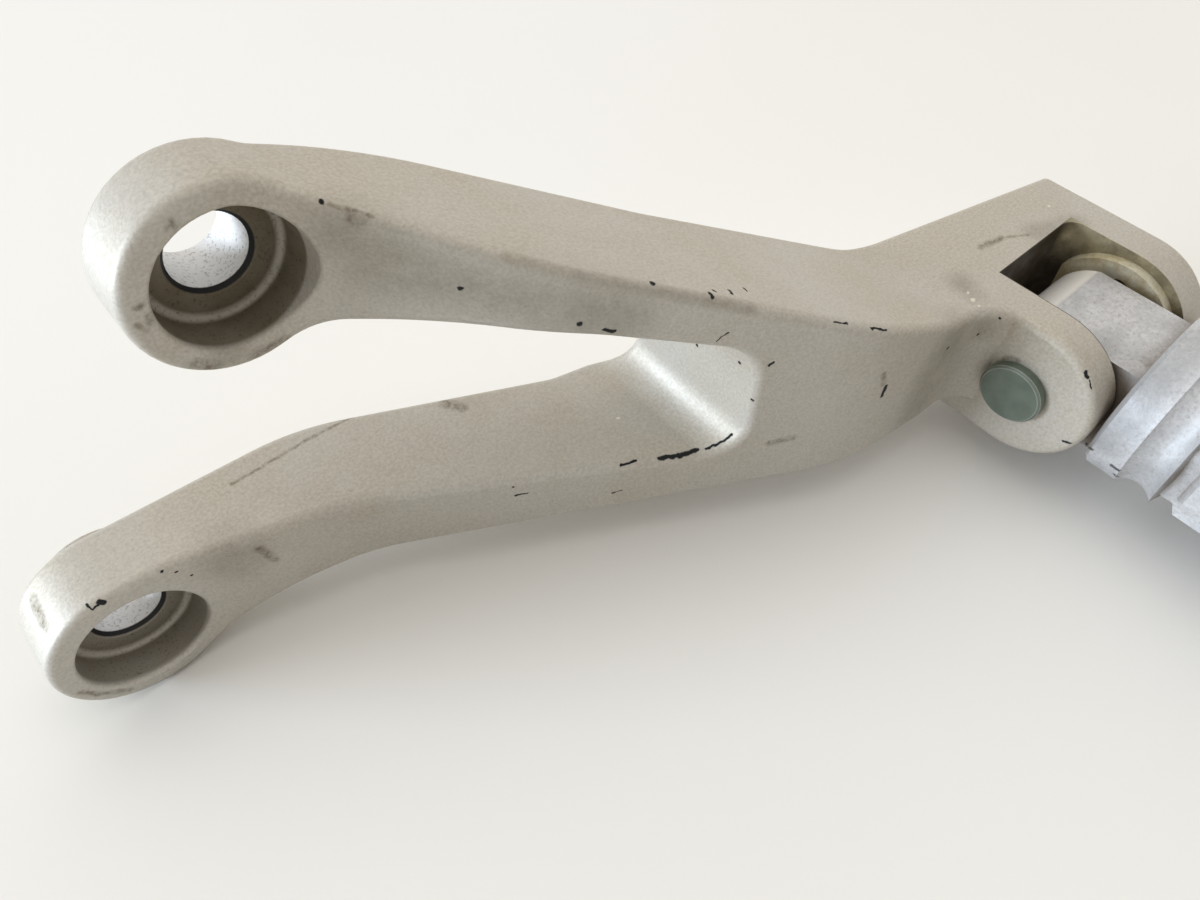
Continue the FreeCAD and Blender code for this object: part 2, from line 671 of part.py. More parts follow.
def draw_lug(sketch):
    """The lug's side view: flat top, end round about the pin, and a heel that stops the peg."""
    radius = value("Sizes.lug_end_radius")
    root = "-(%s + Sizes.collar_width / 2)" % COLLAR_START
    heel_end = "(Sizes.pin_out - Sizes.slot_floor_out - Sizes.stop_gap)"
    heel_top = "(Sizes.stop_heel_height - Sizes.lug_top)"
    top_angle = math.degrees(math.asin(value("Sizes.lug_top") / radius))
    heel_angle = math.degrees(math.asin(value(heel_top) / radius))
    arc = draw_arc(sketch, "Sizes.lug_end_radius", heel_angle, top_angle)
    top_spot = sketch.getPoint(arc, 2)
    heel_spot = sketch.getPoint(arc, 1)
    corners = ((root, "Sizes.lug_top"), (root, "-Sizes.lug_top"),
               (heel_end, "-Sizes.lug_top"), (heel_end, heel_top))
    spots = [top_spot] + [FreeCAD.Vector(value(y), value(z), 0) for y, z in corners] + [heel_spot]
    lines = [sketch.addGeometry(Part.LineSegment(start, end), False)
             for start, end in zip(spots, spots[1:])]
    for line, following in zip(lines, lines[1:]):
        sketch.addConstraint(Sketcher.Constraint("Coincident", line, 2, following, 1))
    sketch.addConstraint(Sketcher.Constraint("Coincident", lines[0], 1, arc, 2))
    sketch.addConstraint(Sketcher.Constraint("Coincident", lines[-1], 2, arc, 1))
    for line, (y, z) in zip(lines, corners):
        hold(sketch, "DistanceX", line, 2, y)
        hold(sketch, "DistanceY", line, 2, z)
    hold(sketch, "DistanceY", arc, 2, "Sizes.lug_top")
    hold(sketch, "DistanceY", arc, 1, heel_top)
    draw_circle(sketch, PIN_HOLE)
    return sketch


def footpeg():
    """The peg: hinge lug, round collar, hollowed neck, and a grip of bevelled pads."""
    peg = body("footpeg")
    lug = draw_lug(sketch_on(peg, "lug_outline", "YZ_Plane", local_x(LUG_NEAR)))
    feature(peg, "Pad", "lug", lug, Length="%s - %s" % (LUG_FAR, LUG_NEAR))

    collar = sketch_on(peg, "collar_outline", "XY_Plane")
    ridge_foot = "-(%s + Sizes.ridge_slope_run)" % NECK_END
    draw_outline(collar, (
        ("0", "-%s" % COLLAR_START),
        ("Sizes.collar_radius - Sizes.collar_bevel", "-%s" % COLLAR_START),
        ("Sizes.collar_radius", "-(%s + Sizes.collar_bevel)" % COLLAR_START),
        ("Sizes.collar_radius", "-%s" % NECK_END),
        ("Sizes.core_flat", ridge_foot),
        ("0", ridge_foot),
    ))
    turned(peg, "Revolution", "collar", collar, "V_Axis")
    hollow = "((Sizes.neck_width ^ 2 / 4 + Sizes.neck_depth ^ 2) / (2 * Sizes.neck_depth))"
    neck = sketch_on(peg, "neck_outline", "XY_Plane")
    draw_circle(neck, hollow, "Sizes.collar_radius - Sizes.neck_depth + %s" % hollow,
                "-(%s + %s) / 2" % (COLLAR_END, NECK_END))
    turned(peg, "Groove", "neck", neck, "V_Axis")

    columns = int(value("Sizes.pad_columns"))
    core = sketch_on(peg, "core_outline", "XZ_Plane", NECK_END)
    reach = "Sizes.core_flat / cos(180 / Sizes.pad_columns)"
    corners = []
    for index in range(columns):
        angle = "(%d * 180 / Sizes.pad_columns)" % (2 * index + 1)
        corners.append(("%s * cos(%s)" % (reach, angle), "%s * sin(%s)" % (reach, angle)))
    draw_outline(core, corners)
    feature(peg, "Pad", "core", core, Length="%s - %s" % (PADS_END, NECK_END))

    cap = sketch_on(peg, "cap_outline", "XY_Plane")
    draw_outline(cap, (
        ("0", "-%s" % PADS_END),
        ("Sizes.end_cap_radius", "-%s" % PADS_END),
        ("Sizes.end_cap_radius", "-%s" % PEG_END),
        ("0", "-%s" % PEG_END),
    ))
    end_cap = turned(peg, "Revolution", "end_cap", cap, "V_Axis")
    document.recompute()
    round_end(peg, end_cap)

    pads = sketch_on(peg, "pad_outlines", "XY_Plane", "Sizes.core_flat")
    for index in range(int(value("Sizes.pad_rows"))):
        draw_pad(pads, "(%s + %d * %s)" % (PADS_START, index, PAD_PITCH))
    row = feature(peg, "Pad", "pad_row", pads, Length="Sizes.pad_height",
                  TaperAngle="-Sizes.pad_bevel")
    document.recompute()
    grip = peg.newObject("PartDesign::PolarPattern", "grip")
    grip.Originals = [row]
    grip.Axis = ([part for part in peg.Origin.OriginFeatures if part.Role == "Y_Axis"][0], [""])
    grip.Angle = 360
    bind(grip, Occurrences="Sizes.pad_columns")
    peg.Tip = grip
    document.recompute()

    pocket = sketch_on(peg, "ball_bore_outline", "YZ_Plane", local_x(LUG_FAR))
    draw_circle(pocket, BALL_BORE, "-Sizes.detent_circle")
    feature(peg, "Pocket", "ball_bore", pocket, Length="Sizes.ball_bore_depth")
    return peg


def round_end(peg, end_cap):
    """Rounds the outer rim of the peg's free end."""
    end_y = -value(PEG_END)
    rims = []
    for index, edge in enumerate(end_cap.Shape.Edges, start=1):
        at_end = abs(edge.BoundBox.YMax - end_y) < 1e-3 and edge.BoundBox.YLength < 1e-3
        if at_end:
            rims.append("Edge%d" % index)
    rounding = peg.newObject("PartDesign::Fillet", "end_round")
    rounding.Base = (end_cap, rims)
    return bind(rounding, Radius="Sizes.end_cap_round")


def draw_pad(sketch, start):
    """One rectangular pad outline that starts some way along the peg."""
    half = "Sizes.pad_width / 2"
    end = "(%s + Sizes.pad_length)" % start
    corners = ((half, "-%s" % start), ("-" + half, "-%s" % start),
               ("-" + half, "-%s" % end), (half, "-%s" % end))
    draw_outline(sketch, corners)


SPLIT_X = "(%s + Sizes.washer_thickness + Sizes.split_hole_gap + Sizes.split_hole_radius)" % FAR_OUTER
PIN_END = "(%s + Sizes.split_hole_radius + Sizes.pin_tail)" % SPLIT_X


def clevis_pin():
    """The headed hinge pin, drilled across near its end for the split pin."""
    pin = body("clevis_pin")
    profile = sketch_on(pin, "pin_outline", "XY_Plane")
    head_out = local_x("(%s - Sizes.pin_head_height)" % NEAR_OUTER)
    head_in = local_x(NEAR_OUTER)
    tail = local_x(PIN_END)
    draw_outline(profile, (
        (head_out, "0"),
        (head_out, "Sizes.pin_head_radius - Sizes.pin_head_chamfer"),
        ("%s + Sizes.pin_head_chamfer" % head_out, "Sizes.pin_head_radius"),
        (head_in, "Sizes.pin_head_radius"),
        (head_in, "Sizes.pin_radius"),
        ("%s - Sizes.pin_head_chamfer" % tail, "Sizes.pin_radius"),
        (tail, "Sizes.pin_radius - Sizes.pin_head_chamfer"),
        (tail, "0"),
    ))
    turned(pin, "Revolution", "pin_turned", profile, "H_Axis")
    cross = sketch_on(pin, "split_hole_outline", "XY_Plane", "2 * Sizes.pin_radius")
    draw_circle(cross, "Sizes.split_hole_radius", local_x(SPLIT_X))
    feature(pin, "Pocket", "split_hole", cross, Length="4 * Sizes.pin_radius")
    return pin


def pin_washer():
    washer = body("pin_washer")
    ring = sketch_on(washer, "washer_outline", "YZ_Plane", local_x(FAR_OUTER))
    draw_circle(ring, "Sizes.washer_radius")
    draw_circle(ring, "Sizes.pin_radius + Sizes.washer_clearance")
    feature(washer, "Pad", "washer", ring, Length="Sizes.washer_thickness")
    return washer


def split_pin():
    """A bent wire through the pin: an eye above, two legs, and their ends spread below."""
    wire = "Sizes.split_wire_radius"
    offset = "(Sizes.split_wire_radius + Sizes.split_wire_gap / 2)"
    eye_z = "(%s + Sizes.pin_radius + Sizes.split_eye_gap + %s + Sizes.split_eye_radius)" % (PIN_Z, wire)
    bend_z = "(%s - Sizes.pin_radius - Sizes.split_leg_drop)" % PIN_Z
    leg_top = "(%s - sqrt(Sizes.split_eye_radius ^ 2 - %s ^ 2))" % (eye_z, offset)
    eye = document.addObject("Part::Torus", "split_eye")
    bind(eye, Radius1="Sizes.split_eye_radius", Radius2=wire)
    pieces = [place(eye, SPLIT_X, PIN_Y, eye_z, ALONG_X)]
    upright = FreeCAD.Rotation()
    for name, side in (("outboard", -1), ("inboard", 1)):
        y = "(%s + %d * %s)" % (PIN_Y, side, offset)
        pieces.append(cylinder("split_leg_" + name, wire, "%s - %s" % (leg_top, bend_z),
                               SPLIT_X, y, bend_z, upright))
        bend = document.addObject("Part::Sphere", "split_bend_" + name)
        pieces.append(place(bind(bend, Radius=wire), SPLIT_X, y, bend_z))
        turn = FreeCAD.Rotation(FreeCAD.Vector(-side, 0, 0), 180 - value("Sizes.split_leg_spread"))
        tail = cylinder("split_tail_" + name, wire, "Sizes.split_leg_tail", SPLIT_X, y, bend_z, turn)
        pieces.append(bind(tail, **{"Placement.Rotation.Angle": "180 - Sizes.split_leg_spread"}))
    return fuse("split_pin", *pieces)


def click_plate():
    """The detent plate on the far ear: a disc with one flat, a pin hole and two click holes."""
    plate = body("click_plate")
    sketch = sketch_on(plate, "plate_outline", "YZ_Plane", local_x(PLATE_NEAR))
    flat = ("(Sizes.pin_out - Sizes.slot_floor_out - Sizes.slot_corner_radius"
            " - Sizes.plate_flat_gap)")
    half_angle = math.degrees(math.acos(value(flat) / value("Sizes.plate_radius")))
    arc = draw_arc(sketch, "Sizes.plate_radius", half_angle, 360 - half_angle)
    chord = Part.LineSegment(sketch.getPoint(arc, 2), sketch.getPoint(arc, 1))
    line = sketch.addGeometry(chord, False)
    sketch.addConstraint(Sketcher.Constraint("Coincident", line, 1, arc, 2))
    sketch.addConstraint(Sketcher.Constraint("Coincident", line, 2, arc, 1))
    hold(sketch, "DistanceX", arc, 1, flat)
    hold(sketch, "DistanceX", arc, 2, flat)
    draw_circle(sketch, "Sizes.pin_radius + Sizes.washer_clearance")
    for turn in ("0", "Sizes.fold_angle"):
        draw_circle(sketch, "Sizes.detent_hole_radius", "-Sizes.detent_circle * cos(%s)" % turn,
                    "Sizes.detent_circle * sin(%s)" % turn)
    feature(plate, "Pad", "plate", sketch, Length="Sizes.plate_thickness")
    return plate


BALL_Y = "(%s - Sizes.detent_circle)" % PIN_Y


def click_ball():
    ball = document.addObject("Part::Sphere", "click_ball")
    return place(bind(ball, Radius="Sizes.ball_radius"), BALL_X, BALL_Y, PIN_Z)


def click_spring():
    """A coil spring in the ball's bore, from the bore's floor to the back of the ball."""
    spring = body("click_spring", BALL_Y)
    wire = "Sizes.spring_wire_radius"
    mean = "(%s - Sizes.spring_gap - %s)" % (BALL_BORE, wire)
    start = "(%s + %s + Sizes.spring_seat_gap)" % (BORE_FLOOR, wire)
    touch = "(Sizes.ball_radius + %s + Sizes.spring_seat_gap)" % wire
    end = "(%s - sqrt(%s ^ 2 - %s ^ 2))" % (BALL_X, touch, mean)
    section = sketch_on(spring, "wire_outline", "XY_Plane")
    draw_circle(section, wire, local_x(start), mean)
    coil = spring.newObject("PartDesign::AdditiveHelix", "coil")
    coil.Profile = section
    coil.ReferenceAxis = (section, ["H_Axis"])
    coil.Mode = "height-turns-angle"
    bind(coil, Height="%s - %s" % (end, start), Turns="Sizes.spring_turns")
    return spring


sub_parts = [bracket(), footpeg(), clevis_pin(), pin_washer(), split_pin(), click_plate(),
             click_ball(), click_spring()]
document.recompute()
failed = [item.Name for item in document.Objects
          if "Invalid" in item.State or "Error" in item.State]
if failed:
    raise RuntimeError("these objects failed: " + ", ".join(failed))
for item in sub_parts:
    item.Label = item.Name
    if item.Shape.isNull() or not item.Shape.isValid():
        raise RuntimeError("no valid solid in " + item.Label)
os.makedirs("parts", exist_ok=True)
for item in sub_parts:
    item.Shape.exportStep("parts/%s.step" % item.Label)
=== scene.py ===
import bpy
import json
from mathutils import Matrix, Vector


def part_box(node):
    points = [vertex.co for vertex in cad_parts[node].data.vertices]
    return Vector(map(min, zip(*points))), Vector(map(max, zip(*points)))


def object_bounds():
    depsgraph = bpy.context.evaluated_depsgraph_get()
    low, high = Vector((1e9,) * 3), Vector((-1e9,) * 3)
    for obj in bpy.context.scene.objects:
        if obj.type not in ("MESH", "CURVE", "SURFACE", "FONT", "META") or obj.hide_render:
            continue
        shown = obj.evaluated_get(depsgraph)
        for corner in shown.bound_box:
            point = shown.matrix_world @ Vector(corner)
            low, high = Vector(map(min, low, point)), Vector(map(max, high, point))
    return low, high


bl_info = {
    "name": "Passenger footpeg",
    "version": (1, 0, 0),
    "blender": (4, 5, 0),
    "location": "3D View > Sidebar > Footpeg",
    "description": "Finishes a folding passenger footpeg: painted casting, bare peg, "
                   "pin and click plate",
    "category": "Object",
}

import json
import math

import bpy
from mathutils import Matrix, Vector

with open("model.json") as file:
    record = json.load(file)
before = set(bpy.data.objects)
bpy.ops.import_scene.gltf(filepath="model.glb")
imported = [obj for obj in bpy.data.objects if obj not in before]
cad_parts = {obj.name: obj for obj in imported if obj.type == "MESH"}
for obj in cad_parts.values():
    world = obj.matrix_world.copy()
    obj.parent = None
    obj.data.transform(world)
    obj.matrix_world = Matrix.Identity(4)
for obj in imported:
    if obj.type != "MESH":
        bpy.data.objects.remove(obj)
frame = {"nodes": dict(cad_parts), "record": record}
CAD_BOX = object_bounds()

MM = 0.001
PHOTO_WIDTH = 1200
PHOTO_HEIGHT = 900
SENSOR_WIDTH = 36.0

MOUNTS = {mount["name"]: Vector(mount["pos_m"]) for mount in frame["record"]["mounts"]}
UPPER_BOLT = MOUNTS["upper_bolt_bore"]
LOWER_BOLT = MOUNTS["lower_bolt_bore"]
JOINTS = {joint["name"]: joint for joint in frame["record"]["behaviour"]["joints"]}
PIN_AXIS = Vector(JOINTS["peg_fold"]["pos_m"])
PLATE_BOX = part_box("click_plate")

# The bolt recesses, along Y from the bosses' back faces
BOLT_HOLE_RADIUS = 5.5 * MM
RECESS_RADIUS = 10.0 * MM
RECESS_MOUTH_Y = -16.6 * MM
RECESS_SEAT_Y = -9.8 * MM

# Between the ears of the clevis, painted dark as grease and painted shade; the far ear's face is
# golden near its top and darker towards the bottom, as painted shade
SLOT_NEAR_X = 111.8 * MM
SLOT_FAR_X = PLATE_BOX[1][0]
SLOT_FLOOR_Y = -63.2 * MM
FAR_EAR_DARK_Z = -44.0 * MM
FAR_EAR_LIGHT_Z = -33.5 * MM

# The part of the hinge lug behind this, its rounded end, is painted pale: worn, and painted light
# where it faces the lights
LUG_END_Y = PIN_AXIS.y + 4.0 * MM

# The room and its two lights
ROOM_COLOUR = (1.0, 0.975, 0.93, 1.0)
BRIGHT_SIDE = (0.42, 0.52, 0.74)
WINDOW_PLACE = (-1.45, 0.74, 0.22)
WINDOW_SIZE = (0.80, 0.44)
WINDOW_COLOUR = (0.74, 0.86, 1.0)
CEILING_PLACE = (0.12, 0.06, 0.70)
CEILING_SIZE = (0.7, 0.7)
CEILING_COLOUR = (1.0, 0.97, 0.91)
LIGHT_TARGET = (0.05, -0.06, -0.03)
FLOOR_HALF_WIDTH = 3.0
FLOOR_GAP = 0.05 * MM
CAMERA_CLIP_START = 5.0 * MM


# Settings that a user would change


class FootpegStageSettings(bpy.types.PropertyGroup):
    """Floor, lights and camera."""

    floor_colour: bpy.props.FloatVectorProperty(
        name="Floor", description="Colour of the table top", subtype="COLOR", size=3,
        min=0.0, max=1.0, default=(0.90, 0.885, 0.855))
    bright_strength: bpy.props.FloatProperty(
        name="Bright side", description="Room light from overhead and behind", default=1.02, min=0.0)
    dim_strength: bpy.props.FloatProperty(
        name="Dim side", description="Room light from the camera's side", default=0.11, min=0.0)
    backdrop_strength: bpy.props.FloatProperty(
        name="Backdrop", description="How pale the room looks behind the floor",
        default=0.86, min=0.0, max=1.0)
    window_power: bpy.props.FloatProperty(
        name="Window", description="Power of the low, cool light on the left", unit="POWER",
        default=33.0, min=0.0)
    ceiling_power: bpy.props.FloatProperty(
        name="Ceiling", description="Power of the soft, warm light overhead", unit="POWER",
        default=1.1, min=0.0)
    camera_azimuth: bpy.props.FloatProperty(
        name="Azimuth", description="Camera direction round the part", subtype="ANGLE",
        default=math.radians(-40.8))
    camera_elevation: bpy.props.FloatProperty(
        name="Elevation", description="Camera height angle", subtype="ANGLE",
        default=math.radians(53.6))
    camera_place: bpy.props.FloatVectorProperty(
        name="Place", description="Where the camera stands", subtype="TRANSLATION", size=3,
        default=(-0.0197, -0.1075, 0.0762))
    lens: bpy.props.FloatProperty(
        name="Lens", description="Focal length in millimetres", default=27.0, min=1.0)


class FootpegBracketSettings(bpy.types.PropertyGroup):
    """The painted casting."""

    paint_colour: bpy.props.FloatVectorProperty(
        name="Paint", description="Silver-grey paint", subtype="COLOR", size=3,
        min=0.0, max=1.0, default=(0.50, 0.47, 0.42))
    # Also the colour of the painted shade in corners and in broad patches.
    grime_and_shade_colour: bpy.props.FloatVectorProperty(
        name="Grime", description="Brown dirt in corners and recesses", subtype="COLOR", size=3,
        min=0.0, max=1.0, default=(0.100, 0.072, 0.028))
    # Also the painted shade that fills the slot.
    grease_and_shade_colour: bpy.props.FloatVectorProperty(
        name="Grease", description="Old grease in the slot", subtype="COLOR", size=3,
        min=0.0, max=1.0, default=(0.030, 0.020, 0.010))
    bore_colour: bpy.props.FloatVectorProperty(
        name="Bore", description="Bare metal in the bolt holes", subtype="COLOR", size=3,
        min=0.0, max=1.0, default=(0.80, 0.79, 0.78))
    gold_colour: bpy.props.FloatVectorProperty(
        name="Oily metal", description="Golden film of oil on the far ear", subtype="COLOR", size=3,
        min=0.0, max=1.0, default=(0.66, 0.59, 0.40))
    crumb_colour: bpy.props.FloatVectorProperty(
        name="Crumbs", description="Pale specks of dry dirt", subtype="COLOR", size=3,
        min=0.0, max=1.0, default=(0.74, 0.69, 0.60))
    chip_colour: bpy.props.FloatVectorProperty(
        name="Chips", description="Dark primer where the paint has chipped", subtype="COLOR", size=3,
        min=0.0, max=1.0, default=(0.012, 0.012, 0.013))
    paint_roughness: bpy.props.FloatProperty(
        name="Roughness", description="Roughness of the satin paint", subtype="FACTOR",
        default=0.52, min=0.0, max=1.0)
    paint_metal: bpy.props.FloatProperty(
        name="Metal flake", description="How metallic the paint looks", subtype="FACTOR",
        default=0.32, min=0.0, max=1.0)


class FootpegPegSettings(bpy.types.PropertyGroup):
    """The bare cast peg."""

    metal_colour: bpy.props.FloatVectorProperty(
        name="Metal", description="Bare cast aluminium", subtype="COLOR", size=3,
        min=0.0, max=1.0, default=(0.70, 0.70, 0.712))
    # Also the colour of the painted shade in the grooves.
    grime_and_shade_colour: bpy.props.FloatVectorProperty(
        name="Dirt", description="Brown dirt in the grooves", subtype="COLOR", size=3,
        min=0.0, max=1.0, default=(0.15, 0.10, 0.055))
    # Pale colour of the lug end: painted light over wear.
    rubbed_and_lit_colour: bpy.props.FloatVectorProperty(
        name="Rubbed end", description="Pale end of the hinge lug, rubbed clean in the slot",
        subtype="COLOR", size=3, min=0.0, max=1.0, default=(0.90, 0.87, 0.82))
    chip_colour: bpy.props.FloatVectorProperty(
        name="Knocks", description="Dark knocks on the collar", subtype="COLOR", size=3,
        min=0.0, max=1.0, default=(0.020, 0.018, 0.016))


class FootpegHardwareSettings(bpy.types.PropertyGroup):
    """Pin, washer, split pin and click parts."""

    zinc_colour: bpy.props.FloatVectorProperty(
        name="Zinc", description="Dull greenish zinc plating", subtype="COLOR", size=3,
        min=0.0, max=1.0, default=(0.135, 0.165, 0.135))
    # Also the painted highlight along the pin's edges.
    bright_colour: bpy.props.FloatVectorProperty(
        name="Bright edge", description="Steel rubbed bright", subtype="COLOR", size=3,
        min=0.0, max=1.0, default=(0.55, 0.55, 0.53))
    plate_colour: bpy.props.FloatVectorProperty(
        name="Plate", description="Stained click plate", subtype="COLOR", size=3,
        min=0.0, max=1.0, default=(0.85, 0.82, 0.68))


# Node helpers


def fill_inputs(tree, made, inputs):
    """Links a socket to each named input of a node, or sets the input where a value is given."""
    for name, given in inputs.items():
        socket = made.inputs[name]
        if isinstance(given, bpy.types.NodeSocket):
            tree.links.new(given, socket)
        else:
            socket.default_value = given


def node(tree, kind, inputs=None, **settings):
    """A new node with its settings and inputs."""
    made = tree.nodes.new(kind)
    for name, setting in settings.items():
        setattr(made, name, setting)
    fill_inputs(tree, made, inputs or {})
    return made


def calc(tree, operation, first, second=0.0, clamp=False):
    """A sum on two numbers."""
    made = node(tree, "ShaderNodeMath", {0: first, 1: second}, operation=operation, use_clamp=clamp)
    return made.outputs[0]


def times(tree, first, second):
    """The product of two numbers."""
    return calc(tree, "MULTIPLY", first, second)


def scaled(tree, value, factor, base):
    """A number times a factor, on top of a base."""
    return calc(tree, "ADD", times(tree, value, factor), base)


def raised(tree, value, mask, amount):
    """A number raised where a mask is, and kept from 0 to 1."""
    return calc(tree, "ADD", value, times(tree, mask, amount), clamp=True)


def inverse(tree, mask):
    """One less a mask."""
    return calc(tree, "SUBTRACT", 1.0, mask)


def vector_calc(tree, operation, first, second=(0.0, 0.0, 0.0)):
    """A sum on two vectors."""
    made = node(tree, "ShaderNodeVectorMath", {0: first, 1: second}, operation=operation)
    return made.outputs["Value" if operation in ("DOT_PRODUCT", "DISTANCE", "LENGTH") else "Vector"]


def scaled_vector(tree, vector, factor):
    """A vector times a number."""
    made = node(tree, "ShaderNodeVectorMath", {0: vector, "Scale": factor}, operation="SCALE")
    return made.outputs["Vector"]


def fade(tree, value, start, end, low=0.0, high=1.0):
    """A smooth step from low at start to high at end."""
    made = node(tree, "ShaderNodeMapRange",
                {"Value": value, "From Min": start, "From Max": end, "To Min": low, "To Max": high},
                interpolation_type="SMOOTHSTEP")
    return made.outputs["Result"]


def rise(tree, value, size, start, end):
    """A smooth step up beside a size, from one distance past it to another, in millimetres."""
    return fade(tree, value, size + start * MM, size + end * MM)


def fall(tree, value, size, start, end):
    """A smooth step down beside a size, from one distance past it to another, in millimetres."""
    return fade(tree, value, size + start * MM, size + end * MM, low=1.0, high=0.0)


# Sockets of a Mix node that mixes colours
MIX_FACTOR = 0
MIX_UNDER = 6
MIX_OVER = 7
MIX_RESULT = 2


def blend(tree, factor, under, over):
    """One colour over another by a factor."""
    made = node(tree, "ShaderNodeMix", {MIX_FACTOR: factor, MIX_UNDER: under, MIX_OVER: over},
                data_type="RGBA")
    return made.outputs[MIX_RESULT]


def cover(tree, under, over, mask, amount):
    """One colour over another where a mask is, by an amount."""
    return blend(tree, times(tree, mask, amount), under, over)


def rgba(colour):
    """A colour with full alpha."""
    return (colour[0], colour[1], colour[2], 1.0)


def tinted(colour, red, green, blue):
    """A colour with each channel times its own tone, up to white."""
    return rgba([min(1.0, level * tone) for level, tone in zip(colour, (red, green, blue))])


def toned(colour, tone):
    """A colour made darker or lighter."""
    return tinted(colour, tone, tone, tone)


def place_of(tree):
    """The place on the object, in metres."""
    return node(tree, "ShaderNodeTexCoord").outputs["Object"]


NOISE_DETAIL = 3.0
NOISE_ROUGHNESS = 0.55
NOISE_MIDDLE = (0.5, 0.5, 0.5)


def noise(tree, place, scale, detail=NOISE_DETAIL, roughness=NOISE_ROUGHNESS):
    """Noise of so many waves a metre."""
    made = node(tree, "ShaderNodeTexNoise",
                {"Vector": place, "Scale": scale, "Detail": detail, "Roughness": roughness})
    return made.outputs["Fac"]


def patches(tree, place, scale, start, end, detail=NOISE_DETAIL, roughness=NOISE_ROUGHNESS):
    """Noise cut to soft patches between two of its levels."""
    return fade(tree, noise(tree, place, scale, detail, roughness), start, end)


def wobble(tree, place, scale, amount):
    """A place shifted about by noise, for ragged edges."""
    made = node(tree, "ShaderNodeTexNoise", {"Vector": place, "Scale": scale, "Detail": NOISE_DETAIL})
    centred = vector_calc(tree, "SUBTRACT", made.outputs["Color"], NOISE_MIDDLE)
    return vector_calc(tree, "ADD", place, scaled_vector(tree, centred, amount))


FLOAT = "NodeSocketFloat"
VECTOR = "NodeSocketVector"
ORIGIN = (0, 0, 0)


def new_group(name, inputs, outputs):
    """A shader node group with named sockets; returns its tree, its inputs and its output node."""
    tree = bpy.data.node_groups.new(name, "ShaderNodeTree")
    for label, kind, default in inputs:
        socket = tree.interface.new_socket(name=label, in_out="INPUT", socket_type=kind)
        socket.default_value = default
    for label in outputs:
        tree.interface.new_socket(name=label, in_out="OUTPUT", socket_type=FLOAT)
    given = tree.nodes.new("NodeGroupInput").outputs
    result = tree.nodes.new("NodeGroupOutput")
    return tree, given, result


def send(tree, result, **sockets):
    """Links sockets to the named outputs of a group."""
    for label, socket in sockets.items():
        tree.links.new(socket, result.inputs[label])


def use_group(tree, name, **inputs):
    """A node group with its inputs; returns its outputs."""
    made = node(tree, "ShaderNodeGroup", node_tree=bpy.data.node_groups[name])
    fill_inputs(tree, made, inputs)
    return made.outputs


# Shared effects


def cast_grain_group():
    """Fine grain of a cast or sprayed surface: a shade and a height."""
    tree, given, result = new_group("Cast grain", [("Grain", FLOAT, 2200.0)], ["Shade", "Height"])
    coarse_scale = 0.18
    fine_share = 0.55
    coarse_share = 0.45
    place = place_of(tree)
    fine = noise(tree, place, given["Grain"], detail=2.0, roughness=0.6)
    coarse = noise(tree, place, times(tree, given["Grain"], coarse_scale), detail=3.0, roughness=0.6)
    height = calc(tree, "ADD", times(tree, fine, fine_share), times(tree, coarse, coarse_share))
    send(tree, result, Shade=fade(tree, fine, start=0.3, end=0.7), Height=height)


def crevice_group():
    """Darkening in corners, found by ambient occlusion and broken up by noise: painted shade, over the
    brown that gathers there.
    """
    tree, given, result = new_group(
        "Crevice dirt", [("Reach", FLOAT, 4 * MM), ("Amount", FLOAT, 1.0)], ["Mask"])
    shade = node(tree, "ShaderNodeAmbientOcclusion", {"Distance": given["Reach"]}, samples=4)
    hidden = inverse(tree, shade.outputs["AO"])
    patchy = noise(tree, place_of(tree), scale=260.0, detail=4.0, roughness=0.6)
    wanted = times(tree, hidden, scaled(tree, patchy, factor=1.2, base=0.4))
    mask = fade(tree, times(tree, wanted, given["Amount"]), start=0.25, end=0.85)
    send(tree, result, Mask=mask)


def streak_group():
    """A mark along the line from one point to another: the run is the line, and the slope is the run
    over its length squared."""
    tree, given, result = new_group(
        "Streak",
        [("Place", VECTOR, ORIGIN), ("Start", VECTOR, ORIGIN), ("Run", VECTOR, ORIGIN),
         ("Slope", VECTOR, ORIGIN), ("Inner", FLOAT, 0.3 * MM), ("Outer", FLOAT, 0.6 * MM)],
        ["Mask"])
    offset = vector_calc(tree, "SUBTRACT", given["Place"], given["Start"])
    along = calc(tree, "MAXIMUM", vector_calc(tree, "DOT_PRODUCT", offset, given["Slope"]), 0.0)
    along = calc(tree, "MINIMUM", along, 1.0)
    distance = vector_calc(tree, "DISTANCE", offset, scaled_vector(tree, given["Run"], along))
    send(tree, result, Mask=fade(tree, distance, given["Inner"], given["Outer"], low=1.0, high=0.0))


def dot_group():
    """A round mark at a point."""
    tree, given, result = new_group(
        "Dot",
        [("Place", VECTOR, ORIGIN), ("Centre", VECTOR, ORIGIN), ("Inner", FLOAT, 0.3 * MM),
         ("Outer", FLOAT, 0.6 * MM)],
        ["Mask"])
    distance = vector_calc(tree, "DISTANCE", given["Place"], given["Centre"])
    send(tree, result, Mask=fade(tree, distance, given["Inner"], given["Outer"], low=1.0, high=0.0))


